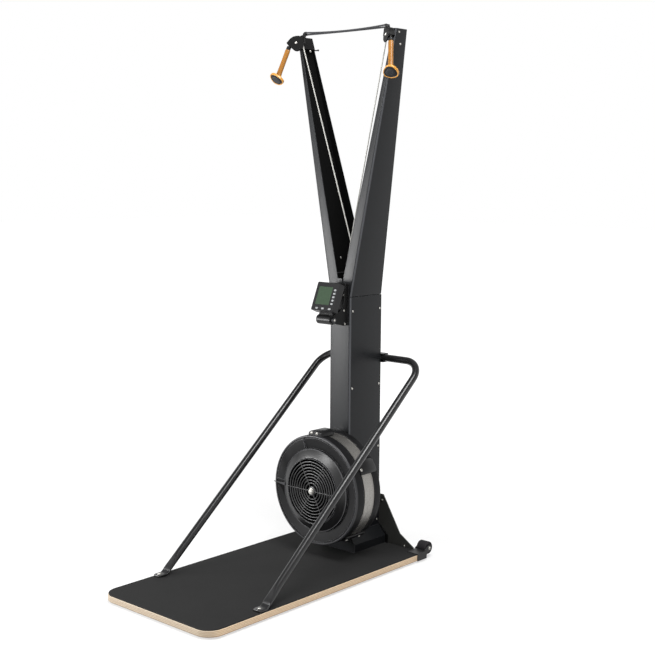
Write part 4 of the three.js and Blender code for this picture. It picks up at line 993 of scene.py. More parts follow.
def grown(shares):
    """An outline in millimetres from shares of the pulley's radius."""
    return [(u * head_radius, v * head_radius) for u, v in shares]


def strand_anchor(head, rise, depth):
    """Where a return cord is tied to a head's guide block."""
    return (head["centre"] + head["nose"] * guide_shares[0][0] * head_radius + head["up"] * rise * head_radius
            + head["inward"] * depth * guide_block)


front_tie = strand_anchor(heads["right"], *strand_shares["front"])
print("front return cord is tied at", [round(v) for v in front_tie])

# %% Leaves, web, hood, guide block, collars and mount plate
hood_shares = [(1.62, -0.1), (1.48, 0.27), (1.02, 0.8), (0.52, 1.1), (0.08, 1.21), (-0.5, 1.24)]
hood_sheet, hood_overlap = Vector((1.6, 1.4)), 0.2

for word, side in SIDES:
    head = heads[word]
    leaf = smooth_outline(grown(leaf_shares))
    outer = head_half + head_plate
    inner_leaf, outer_leaf = (head_half, outer), (-outer, -head_half)
    if (head["inward"].x > 0) == (side > 0):
        inner_leaf, outer_leaf = outer_leaf, inner_leaf
    front_y = arm_sides(mount_low)[2] - mount_gap
    head_plate_piece(f"head_leaf_in_{word}", head, leaf, *inner_leaf, plate_paint,
                     stands_for=[f"pulley_bracket_{word}"], slot="paint")
    piece = head_plate_piece(f"head_leaf_out_{word}", head, leaf, *outer_leaf, plate_paint, slot="paint")
    cut_behind(piece, front_y)
    piece = head_plate_piece(f"head_web_{word}", head, grown(web_shares), -outer, outer, plate_paint,
                             slot="paint")
    cut_behind(piece, front_y)
    over = grown(hood_shares)
    under = [(u - hood_sheet.x, v - hood_sheet.y) for u, v in over]
    hood_half = head_half + hood_overlap
    head_plate_piece(f"head_hood_{word}", head, over + under[::-1], -hood_half, hood_half, plate_paint, 0.4,
                     slot="paint")
    block = rounded(grown(guide_shares), [2, 1, 3, 3, 2], 4)
    head_plate_piece(f"head_guide_{word}", head, block, -guide_block / 2, guide_block / 2, small_plastic, 1.2,
                     slot="paint")
    for strand, (rise, depth) in strand_shares.items():
        anchor = strand_anchor(head, rise, depth)
        reach = Vector((side * collar_length, 0, 0))
        a, b = collar_radius, collar_length
        profile = [(collar_bore, -b), (a - 0.8, -b), (a, 1 - b), (a, b - 1), (a - 0.8, b), (collar_bore, b)]
        turned_piece(f"cord_collar_{strand}_{word}", profile, frame_at(anchor, reach, UP),
                     small_plastic, 32, slot="paint")
    rings = []
    for z in (mount_low, arm_top):
        _, xi, y0, y1 = arm_sides(z)
        x1 = xi - mount_gap
        rings.append([flip(Vector((x, y, z)), side) for x, y in
                      ((x1 - sheet, y0 - head_plate), (x1, y0 - head_plate), (x1, y1), (x1 - sheet, y1))])
    soften(skin(f"head_mount_{word}", rings, plate_paint, slot="paint"), 0.6)
print("heads at", [round(v) for v in heads["right"]["centre"]])

# %% [markdown]
# ### Pulleys and screws
#
# A pulley is turned: one section spun round its axle. Its groove is a half round whose floor lies just
# under the cord's route. A screw head is a row of rings, round outside and six-sided in the socket, so one
# helper makes every screw.

# %% Pulleys and their bolts
axle_radius, bolt_radius, bolt_height, run_gap = 4, 6, 4, 0.5
groove_depth = 2.8
groove_floor = head_radius - groove_depth


def groove_profile(bore, rim, floor, width, steps=6):
    """Half-round groove between two rounded rims, as (radius, distance) pairs."""
    flange = width / 2
    pairs = [(bore, -flange), (rim - 1, -flange), (rim, -flange + 0.8)]
    depth = rim - floor
    for i in range(steps + 1):
        share = -1 + 2 * i / steps
        sink = math.cos(share * math.pi / 2) ** 0.6
        pairs.append((rim - depth * sink, share * (flange - 1.4)))
    return pairs + [(rim, flange - 0.8), (rim - 1, flange), (bore, flange)]


screw_dome = [(1.0, -0.15), (1.0, 0.2), (0.94, 0.5), (0.8, 0.8), (0.62, 0.96)]
screw_socket = [(0.5, 1.0), (0.5, 0.35)]


def bolt_head(name, place, direction, radius, height):
    """A domed screw head with a hexagon socket, standing on a surface."""
    centre, side, up, along = frame_at(Vector(place), Vector(direction), UP)
    rings = []
    for k, (share, rise) in enumerate(screw_dome + screw_socket):
        ring = []
        for turn in turns_round(24):
            reach = radius * share
            if k >= len(screw_dome):
                reach *= hexagon_reach(turn)
            out = side * math.cos(turn) + up * math.sin(turn)
            ring.append(centre + out * reach + along * rise * height)
        rings.append(ring)
    skin(name, rings, bolt_steel, sharp=40, slot="bolt_steel")


for word, side in SIDES:
    head = heads[word]
    axis = frame_at(head["centre"], head["inward"], head["up"])
    groove = groove_profile(axle_radius + run_gap, head_rim, groove_floor, head_width)
    turned_piece(f"pulley_wheel_{word}", groove, axis, small_plastic, 64, body=f"pulley_{word}",
                 stands_for=[f"pulley_{word}"], slot="small_plastic")
    grip = head_half + head_plate + 0.3
    path = [head["centre"] - head["inward"] * grip, head["centre"] + head["inward"] * grip]
    tube_piece(f"pulley_bolt_{word}", path, axle_radius, bolt_steel, 20, stands_for=[f"pulley_axle_{word}"],
               slot="bolt_steel")
    for end, way in (("a", -1), ("b", 1)):
        bolt_head(f"pulley_bolt_head_{word}_{end}", head["centre"] + head["inward"] * way * grip,
                  head["inward"] * way, bolt_radius, bolt_height)
print("pulleys made")

# %% [markdown]
# ## Drive cords
#
# Each cord leaves its handle, wraps the head pulley, crosses between the arms, passes a guide wheel and
# winds on a drum on the fan's shaft inside the column. It is 5 mm braid, so it gets the braid group as
# relief. The two cords between the heads are a darker braid with a coarser weave.

# %% Braided finishes


def braided_finish(name, colour, dark, strands, pitch, roughness):
    """A grained finish with a braid's relief, and painted shade in the darker colour between its strands."""
    material = new_finish(name, colour, roughness, size=0.5, bump=0.05, tone=0.15)
    tree, shader = principled(material)
    weave = put(tree, "ShaderNodeGroup", {"Strands": strands, "Pitch mm": pitch}, node_tree=braid)
    shade = shader.inputs["Base Color"].links[0].from_socket
    tree.links.new(mixed(tree, weave.outputs["Height"], dark, shade), shader.inputs["Base Color"])
    raise_surface(tree, shader, weave.outputs["Height"], 0.4, 0.4 * MM)
    return material


# The second colour of each braid is the painted shade between its strands.
pale_braid = braided_finish("pale_braided_cord", linear(178, 177, 172), linear(160, 159, 154), 6.0, 3.0, 0.6)
dark_braid = braided_finish("dark_braided_shock_cord", linear(46, 47, 50), linear(30, 31, 33), 8.0, 3.5, 0.75)
print("braids:", pale_braid.name, dark_braid.name)

# %% [markdown]
# ### The cords' route
#
# A curve with a round bevel could carry a cord. Here its points are worked out first, because the length
# that is said about the cord has to be that of the drawn one. It leaves the head pulley where the line to
# the far guide wheel touches it, bends round that wheel, runs straight down and takes seven tenths of a
# turn round its drum.

# %% The cords' route, from handle to drum
cord_radius = 2.5
cord_lead = 2
exit_drop = 22
fan_height = sum(corner.z for corner in box_mm("fan_rear_shell")) / 2
drum_radius, drum_rim, drum_width, drum_bore = cord_line_x, 49.5, 15, 8.3
wrap_turns, wrap_steps = 0.7, 32


def head_point(head, angle):
    """A point of the cord on the head pulley."""
    return head["centre"] + (head["nose"] * math.cos(angle) + head["up"] * math.sin(angle)) * head_radius


def handle_tangent(head):
    """The angle at which the hanging cord leaves the head pulley."""
    return math.atan2(head["hang"].dot(head["up"]), head["hang"].dot(head["nose"])) + math.pi / 2


def cord_route(word, side):
    """A drive cord's points, in millimetres, from its head pulley to its drum."""
    head, y = heads[word], cord_line_y[word]
    to_target = cord_target(side) - head["centre"]
    u, v = to_target.dot(head["nose"]), to_target.dot(head["up"])
    start = handle_tangent(head)
    end = math.atan2(v, u) - math.acos(head_radius / math.hypot(u, v))
    if end < start:
        end += 2 * math.pi
    route = [head_point(head, start) + head["hang"] * cord_lead]
    route += [head_point(head, mix(start, end, i / 20)) for i in range(21)]
    last = route[-1]
    slope = math.atan2(abs(last.x - cord_target(side).x), last.z - guide_height)
    guide_x = -side * (cord_line_x - guide_wheel_radius)
    bend = [Vector((guide_x - side * guide_wheel_radius * math.cos(slope * s), y,
                    guide_height + guide_wheel_radius * math.sin(slope * s)))
            for s in (1, 0.75, 0.5, 0.25, 0)]
    route += [last.lerp(bend[0], i / 8) for i in range(1, 8)] + bend
    route += [bend[-1].lerp(Vector((-side * cord_line_x, y, fan_height)), i / 8) for i in range(1, 8)]
    for i in range(wrap_steps + 1):
        turn = 2 * math.pi * wrap_turns * i / wrap_steps
        route.append(Vector((-side * drum_radius * math.cos(turn), y,
                             fan_height - drum_radius * math.sin(turn))))
    return route


def route_length(route):
    return sum((b - a).length for a, b in zip(route, route[1:])) * MM


print("right route:", len(cord_route("right", 1)), "points")

# %% Drive cords
for word, side in SIDES:
    route = cord_route(word, side)
    cord = tube_piece(f"drive_cord_braid_{word}", route, cord_radius, pale_braid, 14,
                      stands_for=[f"drive_cord_{word}"], slot="pale_cord", sharp=60)
    print("drive cord", word, round(route_length(route), 3), "m")

# %% [markdown]
# ### Guide wheels and drums
#
# Both are turned like the pulleys, each on its own body, so that they spin when a handle is pulled. The
# cord on the drum is drawn as short chords, which cut a little inside the circle. The drum's floor lies
# below them, so that the cord lies in the groove without sinking into it.

# %% Guide wheels and drums
chord_turn, cord_clear = math.pi * wrap_turns / 16, 0.3
for word, side in SIDES:
    y = cord_line_y[word]
    axis = frame_at(Vector((-side * (cord_line_x - guide_wheel_radius), y, guide_height)), DEPTHWISE)
    groove = groove_profile(pin_radius + run_gap, guide_rim, guide_wheel_radius - groove_depth, guide_width)
    turned_piece(f"guide_wheel_groove_{word}", groove, axis, small_plastic, 48, body=f"guide_wheel_{word}",
                 stands_for=[f"guide_wheel_{word}"], slot="small_plastic")
    axis = frame_at(Vector((0, y, fan_height)), DEPTHWISE)
    floor = drum_radius * math.cos(chord_turn) - cord_radius - cord_clear
    groove = groove_profile(drum_bore, drum_rim, floor, drum_width, steps=8)
    turned_piece(f"drum_groove_{word}", groove, axis, small_plastic, 64, body=f"cord_drum_{word}",
                 stands_for=[f"cord_drum_{word}"], slot="small_plastic")
print("guide wheels and drums made, drum floor", round(floor, 1))

# %% [markdown]
# ### Return cords
#
# Two elastic cords join the heads, one in front of the other. A hanging cord has the shape of a catenary.
# With a sag of a few millimetres in 400 a parabola can't be told from it and needs only the two ends and
# the sag.

# %% Shock cords between the heads
shock_radius, shock_sag, rear_sag_share = 3.4, 7, 0.2
for strand, (rise, depth) in strand_shares.items():
    ends = [strand_anchor(heads[word], rise, depth) for word, _ in SIDES]
    reach = Vector((collar_length + cord_clear, 0, 0))
    start, stop = ends[0] + reach, ends[1] - reach
    sag = shock_sag * (1 if strand == "front" else rear_sag_share)
    route = []
    for i in range(25):
        t = i / 24
        point = start.lerp(stop, t)
        point.z -= sag * 4 * t * (1 - t)
        route.append(point)
    cord = tube_piece(f"shock_cord_braid_{strand}", route, shock_radius, dark_braid, 16,
                      stands_for=[f"shock_cord_{strand}"], slot="dark_cord", sharp=60)
    print("shock cord", strand, round(route_length(route), 3), "m")

# %% [markdown]
# ## Handles
#
# A handle is one moulding: a grip that is a little wider than thick, with a waist, and a slanted egg-shaped
# flange that the edge of the hand rests on. Two pieces pushed into each other would show a line where they
# meet, so one skin runs from the top of the grip over the flange into its pocket. A dark rubber insert sits
# in the pocket, and a black collar takes the cord at the top.

# %% Orange plastic
orange_plastic = new_finish("orange_moulded_plastic", linear(146, 95, 24), 0.38, 0.6, 0.06, 0.2, 0.08, 0.05,
                            specular=0.45)
# The pad's rim is a paler orange: a painted highlight on its rounded edge.
orange_rim_highlight = new_finish("orange_rim_painted_highlight", linear(196, 138, 52), 0.28, 0.6, 0.04, 0.1, 0.06, 0.03)
_, shader = principled(orange_plastic)
shader.inputs["Subsurface Weight"].default_value = 0.06
shader.inputs["Subsurface Scale"].default_value = 4 * MM
print("handle finishes:", orange_plastic.name, orange_rim_highlight.name)

# %% [markdown]
# ### The handle's rings
#
# A subdivided cage would be quicker to shape by eye. Tables of rings keep the waist and the flange where
# the photograph shows them. The grip's rings are square to the cord, the flange's are tilted, and three
# rings between the two blend one into the other.

# %% The handle's frame and rings
grip_wide, grip_narrow = 11.2, 9.2
ferrule_length, ferrule_radius = 14, 9.5
cap_distance, cap_slant = 143.5, math.radians(31)
cap_long, cap_short, cap_rim, cap_depth, cap_egg = 34, 28.5, 4.2, 9, -0.22
ring_sides = 56


def handle_frame(word, side):
    """A handle's top end and directions: along the cord, to its front and across it."""
    head = heads[word]
    hang = head["hang"]
    front = flip(Vector((-0.09, -1, 0)), side)
    front = (front - hang * front.dot(hang)).normalized()
    across = hang.cross(front) * -side
    origin = head_point(head, handle_tangent(head)) + hang * exit_drop
    return {"origin": origin, "hang": hang, "front": front, "across": across}


def grip_ring(handle, distance, wide, narrow, sides=ring_sides):
    """An oval ring square to the cord."""
    return [handle["origin"] + handle["hang"] * distance + handle["across"] * wide * math.cos(t)
            + handle["front"] * narrow * math.sin(t) for t in turns_round(sides)]


def egg_ring(handle, depth, grow):
    """An egg-shaped ring in the flange's slanted plane."""
    hang, front = handle["hang"], handle["front"]
    facing = hang * math.cos(cap_slant) + front * math.sin(cap_slant)
    rise = front * math.cos(cap_slant) - hang * math.sin(cap_slant)
    centre = handle["origin"] + hang * cap_distance + facing * depth
    return [centre + handle["across"] * (cap_long + grow) * math.cos(t) + rise * (cap_short + grow)
            * (1 - cap_egg * math.cos(t)) * math.sin(t) for t in turns_round(ring_sides)]


def between(ring_a, ring_b, share):
    """A ring part of the way from one ring to another."""
    return [a.lerp(b, share) for a, b in zip(ring_a, ring_b)]


print("handles start at", [round(v) for v in handle_frame("right", 1)["origin"]])

# %% Sections of the grip, the flange, the insert and the collar
grip_table = [(0.0, 0.72, 0.76), (1.2, 0.84, 0.88), (4.6, 1.0, 1.0), (22, 1.0, 1.0), (36, 0.98, 0.98),
              (50, 0.97, 0.97), (66, 0.98, 0.98), (84, 1.0, 1.0), (100, 1.02, 1.03), (112, 1.1, 1.14)]
flange_table = [(-cap_depth, -cap_rim * 2.6), (-cap_depth * 0.72, -cap_rim), (-cap_depth / 2, -0.5),
                (-cap_depth * 0.38, 0), (cap_depth * 0.36, 0), (cap_depth * 0.47, -0.5),
                (cap_depth / 2, -1.3), (cap_depth / 2, -cap_rim + 1.2), (cap_depth * 0.46, -cap_rim + 0.3),
                (cap_depth * 0.36, -cap_rim), (0, -cap_rim)]
insert_table = [(0.3, -cap_rim - 0.3), (cap_depth * 0.3, -cap_rim - 0.3), (cap_depth * 0.42, -cap_rim - 1.0),
                (cap_depth * 0.48, -cap_rim - 3), (cap_depth * 0.3, -cap_rim - 4.2),
                (cap_depth * 0.3, -cap_rim - 6), (cap_depth * 0.62, -cap_rim - 7.6),
                (cap_depth * 0.78, -cap_rim - 11), (cap_depth * 0.8, -cap_rim - 16)]
collar_table = [(-0.3, 0.62), (0.6, 0.7), (3.2, 0.96), (4.4, 1.0), (7.6, 1.0), (8.2, 0.92), (9.2, 0.92),
                (9.8, 1.0), (13.4, 1.0), (14.0, 0.94)]
print("sections:", len(grip_table) + len(flange_table) + len(insert_table) + len(collar_table))

# %% Handles: moulding, insert and collar
grip_top = ferrule_length + 0.3
for word, side in SIDES:
    handle = handle_frame(word, side)
    pad_centre = handle["origin"] + handle["hang"] * cap_distance

    def on_pad(x, y, z):
        from_pad = Vector((x, y, z)) - pad_centre
        return from_pad.length < cap_long + 6 and from_pad.dot(handle["hang"]) > -cap_depth - 8

    rings = [grip_ring(handle, grip_top + d, grip_wide * a, grip_narrow * b) for d, a, b in grip_table]
    flange = [egg_ring(handle, depth, grow) for depth, grow in flange_table]
    neck = [between(rings[-1], flange[0], share) for share in (0.18, 0.42, 0.7)]
    moulding = skin(f"handle_moulding_{word}", rings + neck + flange, orange_plastic, body=f"handle_{word}",
                    stands_for=[f"handle_grip_{word}"], slot="orange_grip", sharp=50)
    # Painted highlight: the pad's rim takes the paler orange.
    second_finish(moulding, orange_rim_highlight, on_pad)
    skin(f"handle_insert_rubber_{word}", [egg_ring(handle, d, g) for d, g in insert_table], insert_rubber,
         body=f"handle_{word}", stands_for=[f"handle_insert_{word}"], slot="insert_rubber")
    rings = [grip_ring(handle, d, ferrule_radius * s, ferrule_radius * s, 40) for d, s in collar_table]
    skin(f"handle_collar_{word}", rings, small_plastic, body=f"handle_{word}",
         stands_for=[f"handle_ferrule_{word}"], slot="small_plastic")
print("handles made")

# %% [markdown]
# ### The cord that is paid out
#
# A rigid handle slides away from the machine in the model, and a real cord doesn't stretch: more of it
# comes out. A short tube of its own stands for that cord, from where it leaves the head pulley to the top
# of the handle, with many rings along it. It is not attached to any body.

# %% The cord that is paid out when a handle is pulled
for word, side in SIDES:
    head, handle = heads[word], handle_frame(word, side)
    start = head_point(head, handle_tangent(head)) + head["hang"] * cord_lead
    stop = handle["origin"] + head["hang"] * (ferrule_length / 3)
    route = [start.lerp(stop, i / 24) for i in range(25)]
    stub = tube_piece(f"paid_out_cord_{word}", route, cord_radius, pale_braid, 14, body=None,
                      slot="pale_cord", sharp=60)
    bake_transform(stub)

# %% [markdown]
# ## Fan housing
#
# The fan sits in a drum of three parts: a rear shell, a band of open mesh that lets the air out, and a
# front shell with the grille. The rear shell is the same all round, so it is turned from one section with
# rounded corners.

# %% The fan's sizes and rear shell
fan_radius, fan_lip = 229, 6
mesh_radius = box_mm("fan_mesh_band")[1].x
band_front, band_rear = -97, -37
shell_front, grille_front = -148, -168
annulus_inner, grille_outer, grille_bar, hub_radius = 173, 136, 3.6, 21
scale_start, scale_end, scale_sunk = math.radians(108), math.radians(176), 8.0
fan_axis = frame_at(Vector((0, 0, fan_height)), DEPTHWISE)


def fan_point(radius, angle, y):
    """A point round the fan's axis: an angle of 0 is to the right, a quarter turn is up."""
    return Vector((radius * math.cos(angle), y, fan_height + radius * math.sin(angle)))


rear_bore, rear_face, rear_inside = 16, -0.3, -3.3
rear_profile = rounded([(rear_bore, rear_face), (fan_radius, rear_face), (fan_radius, band_rear),
                        (fan_radius - fan_lip, band_rear), (fan_radius - fan_lip, rear_inside),
                        (rear_bore, rear_inside)], [0.8, 4, 1.2, 1, 3, 0.8])
turned_piece("fan_rear_housing", rear_profile, fan_axis, fan_plastic, 144, stands_for=["fan_rear_shell"],
             slot="fan_plastic")
print("fan: radius", fan_radius, "axis at", round(fan_height, 1))

# %% [markdown]
# ### Mesh band
#
# The band is thin steel sheet with rows of round holes. Real holes would be tens of thousands of faces for
# something smaller than a pixel, so the finish draws them. The turn round the fan counts the holes in a
# row, the depth counts the rows, and every other row is shifted by half a hole.

# %% Mesh finish: round holes in rows, by the turn and the depth
mesh_steel = new_finish("perforated_steel_sheet", linear(176, 173, 168), 0.4, 0.5, 0.03, 0.15, 0.12, 0.05,
                        metal=1.0)
tree, shader = principled(mesh_steel)
pitch, hole_share, hole_blur = 3.4, 0.31, 0.04
row_share = math.sqrt(0.75)
spot = put(tree, "ShaderNodeSeparateXYZ", {0: object_place(tree)})
turn = maths(tree, "ARCTAN2", maths(tree, "SUBTRACT", spot.outputs[2], fan_height * MM), spot.outputs[0])
columns = maths(tree, "MULTIPLY", turn, round(mesh_radius / pitch))
rows = maths(tree, "DIVIDE", spot.outputs[1], pitch * MM * row_share)
odd = maths(tree, "FLOORED_MODULO", maths(tree, "FLOOR", rows), 2.0)
u = maths(tree, "SUBTRACT", maths(tree, "FRACT", maths(tree, "MULTIPLY_ADD", odd, 0.5, columns)), 0.5)
v = maths(tree, "MULTIPLY", maths(tree, "SUBTRACT", maths(tree, "FRACT", rows), 0.5), row_share)
from_hole = maths(tree, "SQRT", maths(tree, "ADD", maths(tree, "MULTIPLY", u, u),
                                      maths(tree, "MULTIPLY", v, v)))
sheet_mask = put(tree, "ShaderNodeMapRange", {0: from_hole, 1: hole_share - hole_blur,
                                              2: hole_share + hole_blur}).outputs[0]
shade = shader.inputs["Base Color"].links[0].from_socket
tree.links.new(mixed(tree, sheet_mask, linear(64, 63, 61), shade), shader.inputs["Base Color"])
tree.links.new(sheet_mask, shader.inputs["Metallic"])
raise_surface(tree, shader, sheet_mask, 0.2, 0.6 * MM)
print("mesh: pitch", pitch, "mm")

# %% Mesh band
mesh_sheet, hem, band_gap = 1.5, 0.4, 0.3
y0, y1 = band_rear - band_gap, band_front + band_gap
band_profile = [(mesh_radius - mesh_sheet, y0), (mesh_radius, y0), (mesh_radius, y0 - 2.6),
                (mesh_radius - hem, y0 - 3), (mesh_radius - hem, y1 + 3), (mesh_radius, y1 + 2.6),
                (mesh_radius, y1), (mesh_radius - mesh_sheet, y1)]
turned_piece("fan_mesh_sheet", band_profile, fan_axis, mesh_steel, 160, stands_for=["fan_mesh_band"],
             slot="band_steel")
print("mesh band: from", round(y0, 1), "to", round(y1, 1))

# %% [markdown]
# ### Front shell
#
# A raised sector on the front shell is the scale that the damper's lever points to. Cutting it out of a
# turned shell with a boolean would leave a ragged step. So the section is asked for at each angle, raised
# or sunk, and two angles close together at each end of the scale make the step crisp. The outermost lip
# gets a paler finish that paints its highlight.

# %% The front shell's section
def front_outline(sunk):
    """The shell's section. Beside the scale its face slopes down towards the cone."""
    outer, inner = shell_front + sunk * 0.35, shell_front + sunk
    gap_radius, back = fan_radius - 5, inner + 4.5
    return [(gap_radius, band_front), (gap_radius, -105.6), (fan_radius - 0.8, -106.2), (fan_radius, -107),
            (fan_radius, -141.5), (228.3, -144.4), (226.6, -146.8), (224.8, -147.8), (223, shell_front),
            (221, -147.7), (219.8, -146.4), (219.2, -142.8), (215.6, -142.8), (215, outer + 0.7),
            (213.8, outer), (176.4, inner), (174.4, inner + 0.4), (173.2, inner + 1.4),
            (annulus_inner, max(-144.7, inner + 1.6)), (170, -144.7), (grille_outer, -161.6),
            (grille_outer, -167), (135.4, -167.8), (134.2, grille_front), (133, -167.8), (132.4, -167),
            (132.4, -159), (165, -142.6), (170, back), (gap_radius - 3, back), (gap_radius - 3, band_front)]


print("front shell: points in a section", len(front_outline(0)))

# %% Front shell: one section for each angle, raised between the scale's two ends
half_step = math.radians(0.12)
lip_radius, lip_depth = 219.5, -141
turns = sorted(turns_round(160) + [angle + way * half_step for angle in (scale_start, scale_end)
                                   for way in (-1, 1)])
rings = []
for turn in turns:
    sunk = 0 if scale_start <= turn <= scale_end else scale_sunk
    rings.append([fan_point(r, turn, y) for r, y in front_outline(sunk)])
count = len(rings[0])
points = [p for ring in rings for p in ring]
faces = []
for i in range(len(rings)):
    here, following = i * count, (i + 1) % len(rings) * count
    for k in range(count):
        m = (k + 1) % count
        faces.append((here + k, here + m, following + m, following + k))
housing = new_piece("fan_front_housing", points, faces, fan_plastic, stands_for=["fan_front_shell"],
                    slot="fan_plastic", sharp=28)


def on_lip(x, y, z):
    return math.hypot(x, z - fan_height) > lip_radius and y < lip_depth


# The lip and the two ribs at the scale's ends are paler: painted highlights.
second_finish(housing, highlight_fan_plastic, on_lip)
for end, turn in (("top", scale_start + math.radians(0.5)), ("low", scale_end - math.radians(0.4))):
    rib = [fan_point(r, turn, y) for r, y in ((176.5, -147), (178, -147.7), (212, -147.7), (218, -147.2),
                                              (221, -147))]
    tube_piece(f"scale_rib_{end}", rib, 1.3, highlight_fan_plastic, 12, slot="fan_plastic")
print("front shell: scale from", round(math.degrees(scale_start)), "to", round(math.degrees(scale_end)),
      "degrees")

# %% [markdown]
# ### Grille
#
# The guard in front of the rotor is a set of concentric rings on three long bars. Every ring has the same
# section, flat behind and round in front, and only its radius differs. An array modifier copies one size
# only, so a loop turns them.

# %% Grille: rings, spokes and hub
grille_rings, ring_half, ring_crown, spoke_half = 8, 2.9, 2.4, 2
grille_back = grille_front + 4


def bar_profile(radius):
    """A ring's section: flat behind, rounded in front."""
    shoulder = mix(grille_back, grille_front, 0.35)
    arc = [(radius - ring_half * math.cos(a), shoulder - ring_crown * math.sin(a))
           for a in [math.pi * i / 8 for i in range(9)]]
    return arc + [(radius + way * ring_half * 0.7, grille_back - 0.2) for way in (1, -1)]


for k in range(1, grille_rings + 1):
    radius = mix(hub_radius, grille_outer - grille_bar / 2, k / (grille_rings + 1))
    turned_piece(f"grille_ring_{k:02d}", bar_profile(radius), fan_axis, grille_plastic, 112,
                 slot="fan_plastic")
for k in range(3):
    across = fan_point(1, math.pi * k / 3, 0) - fan_point(0, 0, 0)
    square = Vector((-across.z, 0, across.x))
    section = rounded([(-spoke_half, grille_back - 0.4), (-spoke_half, grille_front + 0.3),
                       (spoke_half, grille_front + 0.3), (spoke_half, grille_back - 0.4)],
                      [0.3, 1.3, 1.3, 0.3])
    rings = []
    for reach in (-(grille_outer - 2), grille_outer - 2):
        rings.append([Vector((0, p.y, fan_height)) + across * reach + square * p.x for p in section])
    skin(f"grille_spoke_{k + 1}", rings, grille_plastic, slot="fan_plastic")
hub_profile = [(8.5, grille_front + 0.2), (16, grille_front + 0.2), (19.5, grille_front + 1.2),
               (hub_radius, -165), (hub_radius, grille_front + 14), (16.3, grille_front + 14), (16.3, -164),
               (8.5, -164)]
turned_piece("grille_hub", hub_profile, fan_axis, grille_plastic, 64, slot="fan_plastic")
print("grille: rings", grille_rings, "bars", 3)

# %% [markdown]
# ### Damper
#
# A cone-shaped ring turns inside the front shell and opens or shuts the way for the air. Cone and rim are
# turned. The lever is a flat web with a ridge on it: two outlines whose front points have depths of their
# own, joined to a foot on the cone. Both ride on the damper's body, so they turn with it. The ridge is
# paler, a painted highlight, and the web near-black, a painted shadow under the lever.

# %% Damper cone and its rim
# The damper's edges turn pale grey: wear and a painted highlight on its rim.
damper_plastic = new_finish("satin_damper_plastic", linear(16, 16, 17), 0.3, 0.8, 0.1, 0.15, 0.08, 0.15,
                            edge_wear_and_highlight=(2.2, 1.0, linear(150, 150, 152)), specular=0.42)
cone_out, cone_in = 171.6, grille_outer + 0.6
damper_profile = rounded([(cone_out, -145.6), (cone_out, -147.4), (169.4, -148.4), (cone_in, -165.2),
                          (cone_in, -162.6), (169.6, -145.6)], [0.3, 0.8, 1.5, 1.6, 0.4, 0.4])
turned_piece("damper_cone", damper_profile, fan_axis, damper_plastic, 160, body="damper",
             stands_for=["damper_ring"], slot="fan_plastic", sharp=28)
rim_plastic = new_finish("polished_rim_plastic", linear(70, 70, 72), 0.22, 0.7, 0.05, 0.1, 0.05, 0.05,
                         specular=0.9)
rim_radius, rim_depth, bead = 170.1, -148.3, 1.4
rim_profile = [(rim_radius + bead * math.cos(turn), rim_depth - bead * math.sin(turn))
               for turn in (k * math.pi / 5 for k in range(10))]
turned_piece("damper_rim", rim_profile, fan_axis, rim_plastic, 160, body="damper", slot="fan_plastic")
print("damper cone from", round(cone_in, 1), "to", cone_out)

# %% Damper lever: a ridge on a web, as (x, height over the axis, y)
lever_base, lever_tip = 166, 229
ridge = [(-lever_base, -9, -151), (-lever_base, -4, -155.4), (-lever_base, 3.2, -153.4),
         (-lever_tip, 1.4, -152.2), (-lever_tip - 4, 0, -152), (-lever_tip, -1.4, -152.2)]
web = [(-172.5, -52, -150), (-171, -4, -151), (-lever_tip + 5, -2, -151), (-198, -14, -150.4),
       (-182, -30, -150)]
# The ridge's paler plastic is a painted highlight, and the web's near-black a painted shadow.
lever_parts = (("ridge", ridge, highlight_fan_plastic, -149.3), ("web", web, shade_black_paint, -148.8))
for part, table, finish, foot in lever_parts:
    points = [Vector((x, y, fan_height + z)) for x, z, y in table]
    points += [Vector((x, foot, fan_height + z)) for x, z, _ in table]
    count = len(table)
    caps = [tuple(range(count)), tuple(range(2 * count - 1, count - 1, -1))]
    walls = [(i, (i + 1) % count, count + (i + 1) % count, count + i) for i in range(count)]
    piece = new_piece(f"damper_lever_{part}", points, caps + walls, finish, body="damper", slot="fan_plastic")
    soften(piece, 0.5)
print("damper lever reaches", lever_tip + 4)

# %% [markdown]
# ### Axle, nut and bearings
#
# A nut on a washer closes the axle in front, and the axle runs in two ball bearings. A nut is a hexagon
# whose corners are turned down to a cone, so its rings go from nearly round to six-sided and back. The
# bearings can't be seen, so they are a turned section with a groove between two races.

# %% Hub nut, axle and bearings
nut_back, washer_thick = grille_front - 0.3, 1.6
washer = rounded([(8.2, nut_back), (8.2, nut_back - washer_thick), (13, nut_back - washer_thick),
                  (13, nut_back)], 0.5)
turned_piece("hub_washer", washer, fan_axis, bolt_steel, 48, body="fan", stands_for=["fan_axle"],
             slot="bolt_steel")
nut_radius, rings = 11.6, []
nut_table = ((0.9, 1.6, 0.4), (1.0, 2.3, 1.0), (1.0, 6.2, 1.0), (0.9, 7.0, 0.4), (0.5, 7.2, 0.4))
for share, rise, flat in nut_table:
    rings.append([fan_point(nut_radius * share * mix(1, hexagon_reach(turn), flat), turn, nut_back - rise)
                  for turn in turns_round(48)])
skin("hub_nut", rings, bolt_steel, body="fan", slot="bolt_steel", sharp=30)
axle_end = box_mm("fan_axle")[1].y
axle = rounded([(0, nut_back - 9), (5.6, nut_back - 9), (7.6, nut_back - 7), (7.6, nut_back), (8, nut_back),
                (8, axle_end), (0, axle_end)], [0, 1.5, 0.5, 0.1, 0.1, 1, 0])
turned_piece("fan_shaft", axle, fan_axis, bolt_steel, 48, body="fan", closed=False, slot="bolt_steel")
